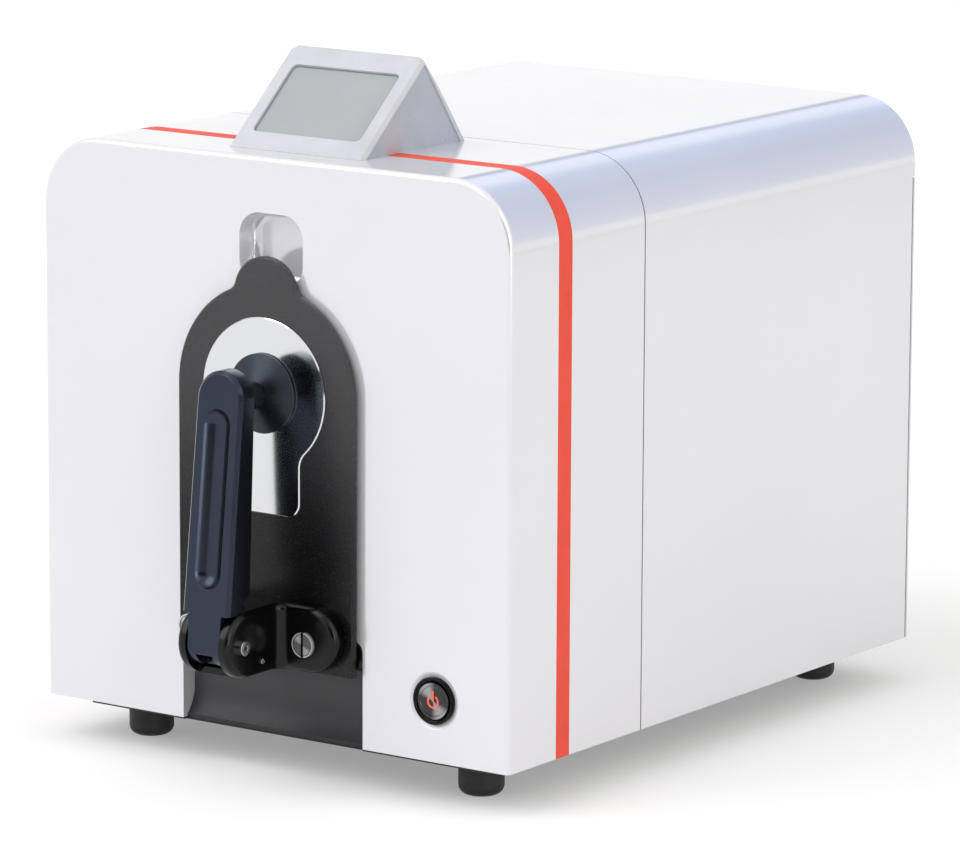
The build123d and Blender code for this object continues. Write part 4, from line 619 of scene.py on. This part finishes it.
# width, height, corner and height over the face of the seal's six edges, in millimetres
seal_edges = (
    (60.98, 41.98, 2.99, -1.38), (60.98, 41.98, 2.99, -1.12), (60.7, 41.7, 2.85, -1.02),
    (60.2, 41.2, 2.6, -1.05), (60.1, 41.1, 2.55, -1.2), (60.1, 41.1, 2.55, -1.38),
)
window_mid = window_margin + window_half
seal = bmesh.new()
loops = []
for width, height, corner, out in seal_edges:
    edge = rounded_loop(width, height, corner)
    loops.append([seal.verts.new(on_face(u, window_mid + v, out)) for u, v in edge])
for first, second in zip(loops, loops[1:] + loops[:1]):
    for i in range(len(first)):
        j = (i + 1) % len(first)
        seal.faces.new((first[i], first[j], second[j], second[i]))
bmesh.ops.recalc_face_normals(seal, faces=seal.faces)
# the seal's grey stands in for the shade of the gap round the glass: painted shade
seal_shade_grey = moulded("seal_shade_grey", tint((138, 142, 148)), 0.5)
piece_from("display_seal_shade", seal, seal_shade_grey, "chassis")


# ---------------------------------------------------------------- gaskets in the covers' joints
panel_low, panel_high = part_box("rear_panel")
shoulder = 31.5 * MM


def cover_outline(inset, steps=16, side_steps=24):
    """Half the covers' outline, from the bottom right edge up to the middle of the top, inset."""
    side = cover_high.x - inset
    top = cover_high.z - inset
    bend = shoulder - inset
    rise = top - bend - cover_low.z
    line = [(side, cover_low.z + rise * k / side_steps) for k in range(side_steps)]
    for k in range(steps + 1):
        a = math.pi / 2 * k / steps
        line.append((side - bend + bend * math.cos(a), top - bend + bend * math.sin(a)))
    line.append((0, top))
    return line


def strip_mesh(outer, inner, front, back):
    """A strip between two open lines of (x, z) points, mirrored to the left side as well."""
    made = bmesh.new()
    outer = outer + [(-x, z) for x, z in reversed(outer[:-1])]
    inner = inner + [(-x, z) for x, z in reversed(inner[:-1])]
    rows = [
        [made.verts.new((x, y, z)) for x, z in line]
        for line, y in ((outer, front), (outer, back), (inner, back), (inner, front))
    ]
    for first, second in zip(rows, rows[1:] + rows[:1]):
        for i in range(len(outer) - 1):
            made.faces.new((first[i], first[i + 1], second[i + 1], second[i]))
    made.faces.new([row[0] for row in rows])
    made.faces.new([row[-1] for row in reversed(rows)])
    bmesh.ops.recalc_face_normals(made, faces=made.faces)
    return made


gasket_black = moulded("gasket_black", (0.02, 0.02, 0.021), 0.6, grain=0.00001)
clear = 0.02 * MM
seam_fill, seam_outer, seam_inner = 0.76 * MM, 0.35 * MM, 1.9 * MM
seam_start = cover_high.y + clear
seam_mesh = strip_mesh(
    cover_outline(seam_outer), cover_outline(seam_inner), seam_start, seam_start + seam_fill
)
piece_from("seam_gasket", seam_mesh, gasket_black, "chassis")

# the rear joint's reach in front of the panel, and its outer and inner insets at the side and at the top
rear_reach = 0.78 * MM
rear_insets = ((0.35 * MM, 0.3 * MM), (1.6 * MM, 1.5 * MM))
rear_lines = []
for side_inset, top_inset in rear_insets:
    side, top = panel_high.x - side_inset, panel_high.z - top_inset
    rear_lines.append([(side, panel_low.z), (side, top), (0, top)])
rear_mesh = strip_mesh(*rear_lines, panel_low.y - rear_reach, panel_low.y - clear)
piece_from("rear_gasket", rear_mesh, gasket_black, "chassis")


# ---------------------------------------------------------------- bend at the recess's foot
recess_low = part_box("recess_panel")[0]
base_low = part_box("base_plate")[0]
foot_half, foot_rise, foot_skin, foot_steps = 51.4 * MM, 13 * MM, 0.01 * MM, 14
foot_front = base_low.y - clear
foot_back = recess_low.y - clear
foot_section = [(foot_back + foot_skin, recess_low.z), (foot_back, recess_low.z + foot_rise)]
for k in range(1, foot_steps + 1):
    down = k / foot_steps
    foot_section.append(
        (foot_back + (foot_front - foot_back) * down**2, recess_low.z + foot_rise * (1 - down))
    )
foot_section += [(foot_front, cover_low.z), (foot_front + foot_skin, cover_low.z)]
foot_mesh = bar(foot_section, -foot_half, foot_half)
piece_from("recess_foot", foot_mesh, recess_grey, "chassis")

# the base plate's dark lip, which shows as a line under the front cover's edge
lip_black = moulded("lip_black", (0.003, 0.003, 0.003), 0.6, grain=0.00001)
lip_left, lip_right = -106 * MM, 122 * MM
lip_setback, lip_chamfer, lip_depth = 0.3 * MM, 0.3 * MM, 1.0 * MM
lip_top = cover_low.z - 0.05 * MM
lip_middle = cover_low.z - 0.6 * MM
lip_bottom = cover_low.z - 0.9 * MM
lip_back = base_low.y + lip_depth
side_front = cover_low.y + lip_setback
for side_name, lip_start, lip_end, lip_front in (
    ("left", lip_left, -foot_half, side_front),
    ("middle", -foot_half, foot_half, foot_front - foot_skin),
    ("right", foot_half, lip_right, side_front),
):
    lip_section = [
        (lip_front, lip_top), (lip_front, lip_middle), (lip_front + lip_chamfer, lip_bottom),
        (lip_back, lip_bottom), (lip_back, lip_top),
    ]
    lip_mesh = bar(lip_section, lip_start, lip_end)
    piece_from("base_lip_" + side_name, lip_mesh, lip_black, "chassis")


# ---------------------------------------------------------------- stage
def stage_grid(name, size, steps, material, place=Matrix.Identity(4)):
    """A flat sheet of the studio, size metres to each side of its middle."""
    made = bmesh.new()
    bmesh.ops.create_grid(made, x_segments=steps, y_segments=steps, size=size)
    mesh = bpy.data.meshes.new(name)
    made.to_mesh(mesh)
    made.free()
    mesh.materials.append(material)
    staged = bpy.data.objects.new(name, mesh)
    staged.matrix_world = place
    bpy.context.scene.collection.objects.link(staged)
    return staged


def bare_material(name):
    """A material with nothing but its output, and its node tree."""
    made = bpy.data.materials.new(name)
    made.use_nodes = True
    made.node_tree.nodes.remove(made.node_tree.nodes["Principled BSDF"])
    return made, made.node_tree


def seen_and_mirrored(tree):
    """1 for what the camera sees directly, in a mirror or through glass, 0 for what lights the object."""
    path = add_node(tree, "ShaderNodeLightPath").outputs
    total = path["Is Camera Ray"]
    for output in ("Is Glossy Ray", "Is Transmission Ray"):
        total = add_node(tree, "ShaderNodeMath", {0: total, 1: path[output]}, operation="MAXIMUM").outputs[0]
    return total


# the floor keeps the object's shadow, and glows a little where it is seen, so that it comes out white
floor_tone, floor_glow, floor_half = 0.8, 0.3, 40.0
floor_mat, floor_tree = bare_material("floor_white")
floor_out = floor_tree.nodes["Material Output"]
floor_diffuse = add_node(floor_tree, "ShaderNodeBsdfDiffuse", {"Color": (floor_tone,) * 3 + (1,)})
floor_gain = add_node(
    floor_tree, "ShaderNodeMath", {0: seen_and_mirrored(floor_tree), 1: floor_glow}, operation="MULTIPLY"
)
floor_light = add_node(floor_tree, "ShaderNodeEmission", {"Strength": floor_gain.outputs[0]})
floor_sum = add_node(
    floor_tree, "ShaderNodeAddShader", {0: floor_diffuse.outputs[0], 1: floor_light.outputs[0]}
)
floor_tree.links.new(floor_sum.outputs[0], floor_out.inputs["Surface"])
stage_grid("floor", floor_half, 4, floor_mat)


def flag(name, place, width, depth, tone):
    """A card that only mirrors see: it shapes the reflections on the object's curved edges."""
    card_mat, card_tree = bare_material(name)
    card_glow = add_node(card_tree, "ShaderNodeEmission", {"Color": (*tone, 1)})
    card_tree.links.new(card_glow.outputs[0], card_tree.nodes["Material Output"].inputs["Surface"])
    card = stage_grid(name, 1.0, 1, card_mat, place @ Matrix.Diagonal((width / 2, depth / 2, 1, 1)))
    card.visible_camera = False
    card.visible_diffuse = False
    card.visible_shadow = False


def facing(centre, aim):
    """The place of a card at centre that is turned toward aim."""
    turned_to = (Vector(aim) - Vector(centre)).to_track_quat("Z", "Y").to_matrix().to_4x4()
    return Matrix.Translation(centre) @ turned_to


side_place = Matrix.Translation((1.3, 2.05, 0.001))
front_place = facing(centre=(1.5, -2.3, 0.5), aim=(0.0, -0.16, 0.2))
rim_place = facing(centre=(1.46, -0.78, 0.35), aim=(0.05, -0.15, 0.15))
flag("card_side", side_place, width=0.3, depth=1.9, tone=(0.02, 0.02, 0.02))
flag("card_front", front_place, width=2.6, depth=1.6, tone=(0.07, 0.07, 0.08))
flag("card_rim", rim_place, width=0.35, depth=0.9, tone=(5.5, 5.5, 5.6))

light_level, seen_level = 0.62, 1.0
world = bpy.data.worlds.new("studio")
bpy.context.scene.world = world
world.use_nodes = True
sky = world.node_tree.nodes["Background"]


def world_node(kind, inputs=None, **settings):
    return add_node(world.node_tree, kind, inputs, **settings)


level = world_node(
    "ShaderNodeMapRange",
    {"Value": seen_and_mirrored(world.node_tree), "To Min": light_level, "To Max": seen_level},
)
world.node_tree.links.new(level.outputs[0], sky.inputs["Strength"])

# a studio's back wall, as the glossy shoulders mirror it: its tones by the angle round the object's long
# axis, in degrees
wall_start, wall_end, peak = -20, 180, 1.4
stops = (
    (-20, (0.95, 0.95, 0.95)), (0, (0.72, 0.79, 0.93)), (9, (0.56, 0.65, 0.85)), (27, (0.37, 0.50, 0.80)),
    (41, (0.32, 0.45, 0.77)), (56, (0.20, 0.36, 0.73)), (86, (0.23, 0.40, 0.79)), (101, (0.29, 0.47, 0.88)),
    (110, (0.48, 0.66, 1.07)), (118, (0.79, 0.93, 1.25)), (142, (0.86, 1.00, 1.35)),
    (148, (0.40, 0.50, 0.80)), (150, (0.10, 0.15, 0.30)), (155, (0.10, 0.15, 0.30)),
    (158, (0.95, 0.98, 1.0)), (162, (1.1, 1.1, 1.1)),
)
heading = world_node("ShaderNodeTexCoord").outputs["Generated"]
axes = world_node("ShaderNodeSeparateXYZ", {0: heading}).outputs
round_axis = world_node("ShaderNodeMath", {0: axes["Z"], 1: axes["X"]}, operation="ARCTAN2").outputs[0]
share_round = world_node(
    "ShaderNodeMapRange",
    {"Value": round_axis, "From Min": math.radians(wall_start), "From Max": math.radians(wall_end)},
).outputs[0]
wall = world_node("ShaderNodeValToRGB", {"Fac": share_round})
ramp = wall.color_ramp
for place, (angle_deg, tone) in enumerate(stops):
    position = (angle_deg - wall_start) / (wall_end - wall_start)
    if 0 < place < len(stops) - 1:
        mark = ramp.elements.new(position)
    else:
        mark = ramp.elements[0 if place == 0 else -1]
        mark.position = position
    mark.color = (*shade(tone, 1 / peak), 1)
wall = world_node("ShaderNodeVectorMath", {0: wall.outputs[0], "Scale": peak}, operation="SCALE").outputs[0]

# the wall stands behind the object only: it fades in and out by how far a direction points along Y
fade_in, full_from, full_to, fade_out = 0.7, 0.78, 0.88, 0.94
behind = world_node("ShaderNodeMapRange", {"Value": axes["Y"], "From Min": fade_in, "From Max": full_from})
not_ahead = world_node("ShaderNodeMapRange", {"Value": axes["Y"], "From Min": fade_out, "From Max": full_to})
in_wall = world_node(
    "ShaderNodeMath", {0: behind.outputs[0], 1: not_ahead.outputs[0]}, operation="MULTIPLY"
).outputs[0]
mirrored = world_node("ShaderNodeLightPath").outputs["Is Glossy Ray"]
use_wall = world_node("ShaderNodeMath", {0: in_wall, 1: mirrored}, operation="MULTIPLY").outputs[0]
backdrop = world_node("ShaderNodeMix", {0: use_wall, 6: (1, 1, 1, 1), 7: wall}, data_type="RGBA").outputs[2]
world.node_tree.links.new(backdrop, sky.inputs["Color"])


def sun(name, towards, strength, colour, spread):
    """A sun lamp that stands in the direction towards, spread degrees wide."""
    data = bpy.data.lights.new(name, "SUN")
    data.energy = strength
    data.color = colour
    data.angle = math.radians(spread)
    lamp = bpy.data.objects.new(name, data)
    lamp.rotation_euler = Vector(towards).to_track_quat("Z", "Y").to_euler()
    bpy.context.scene.collection.objects.link(lamp)


sun("key", towards=(-0.5, -0.7, 0.8), strength=1.2, colour=(0.985, 0.985, 1.0), spread=50)
sun("fill", towards=(0.9, -0.2, 0.5), strength=0.56, colour=(1.0, 0.92, 0.84), spread=50)
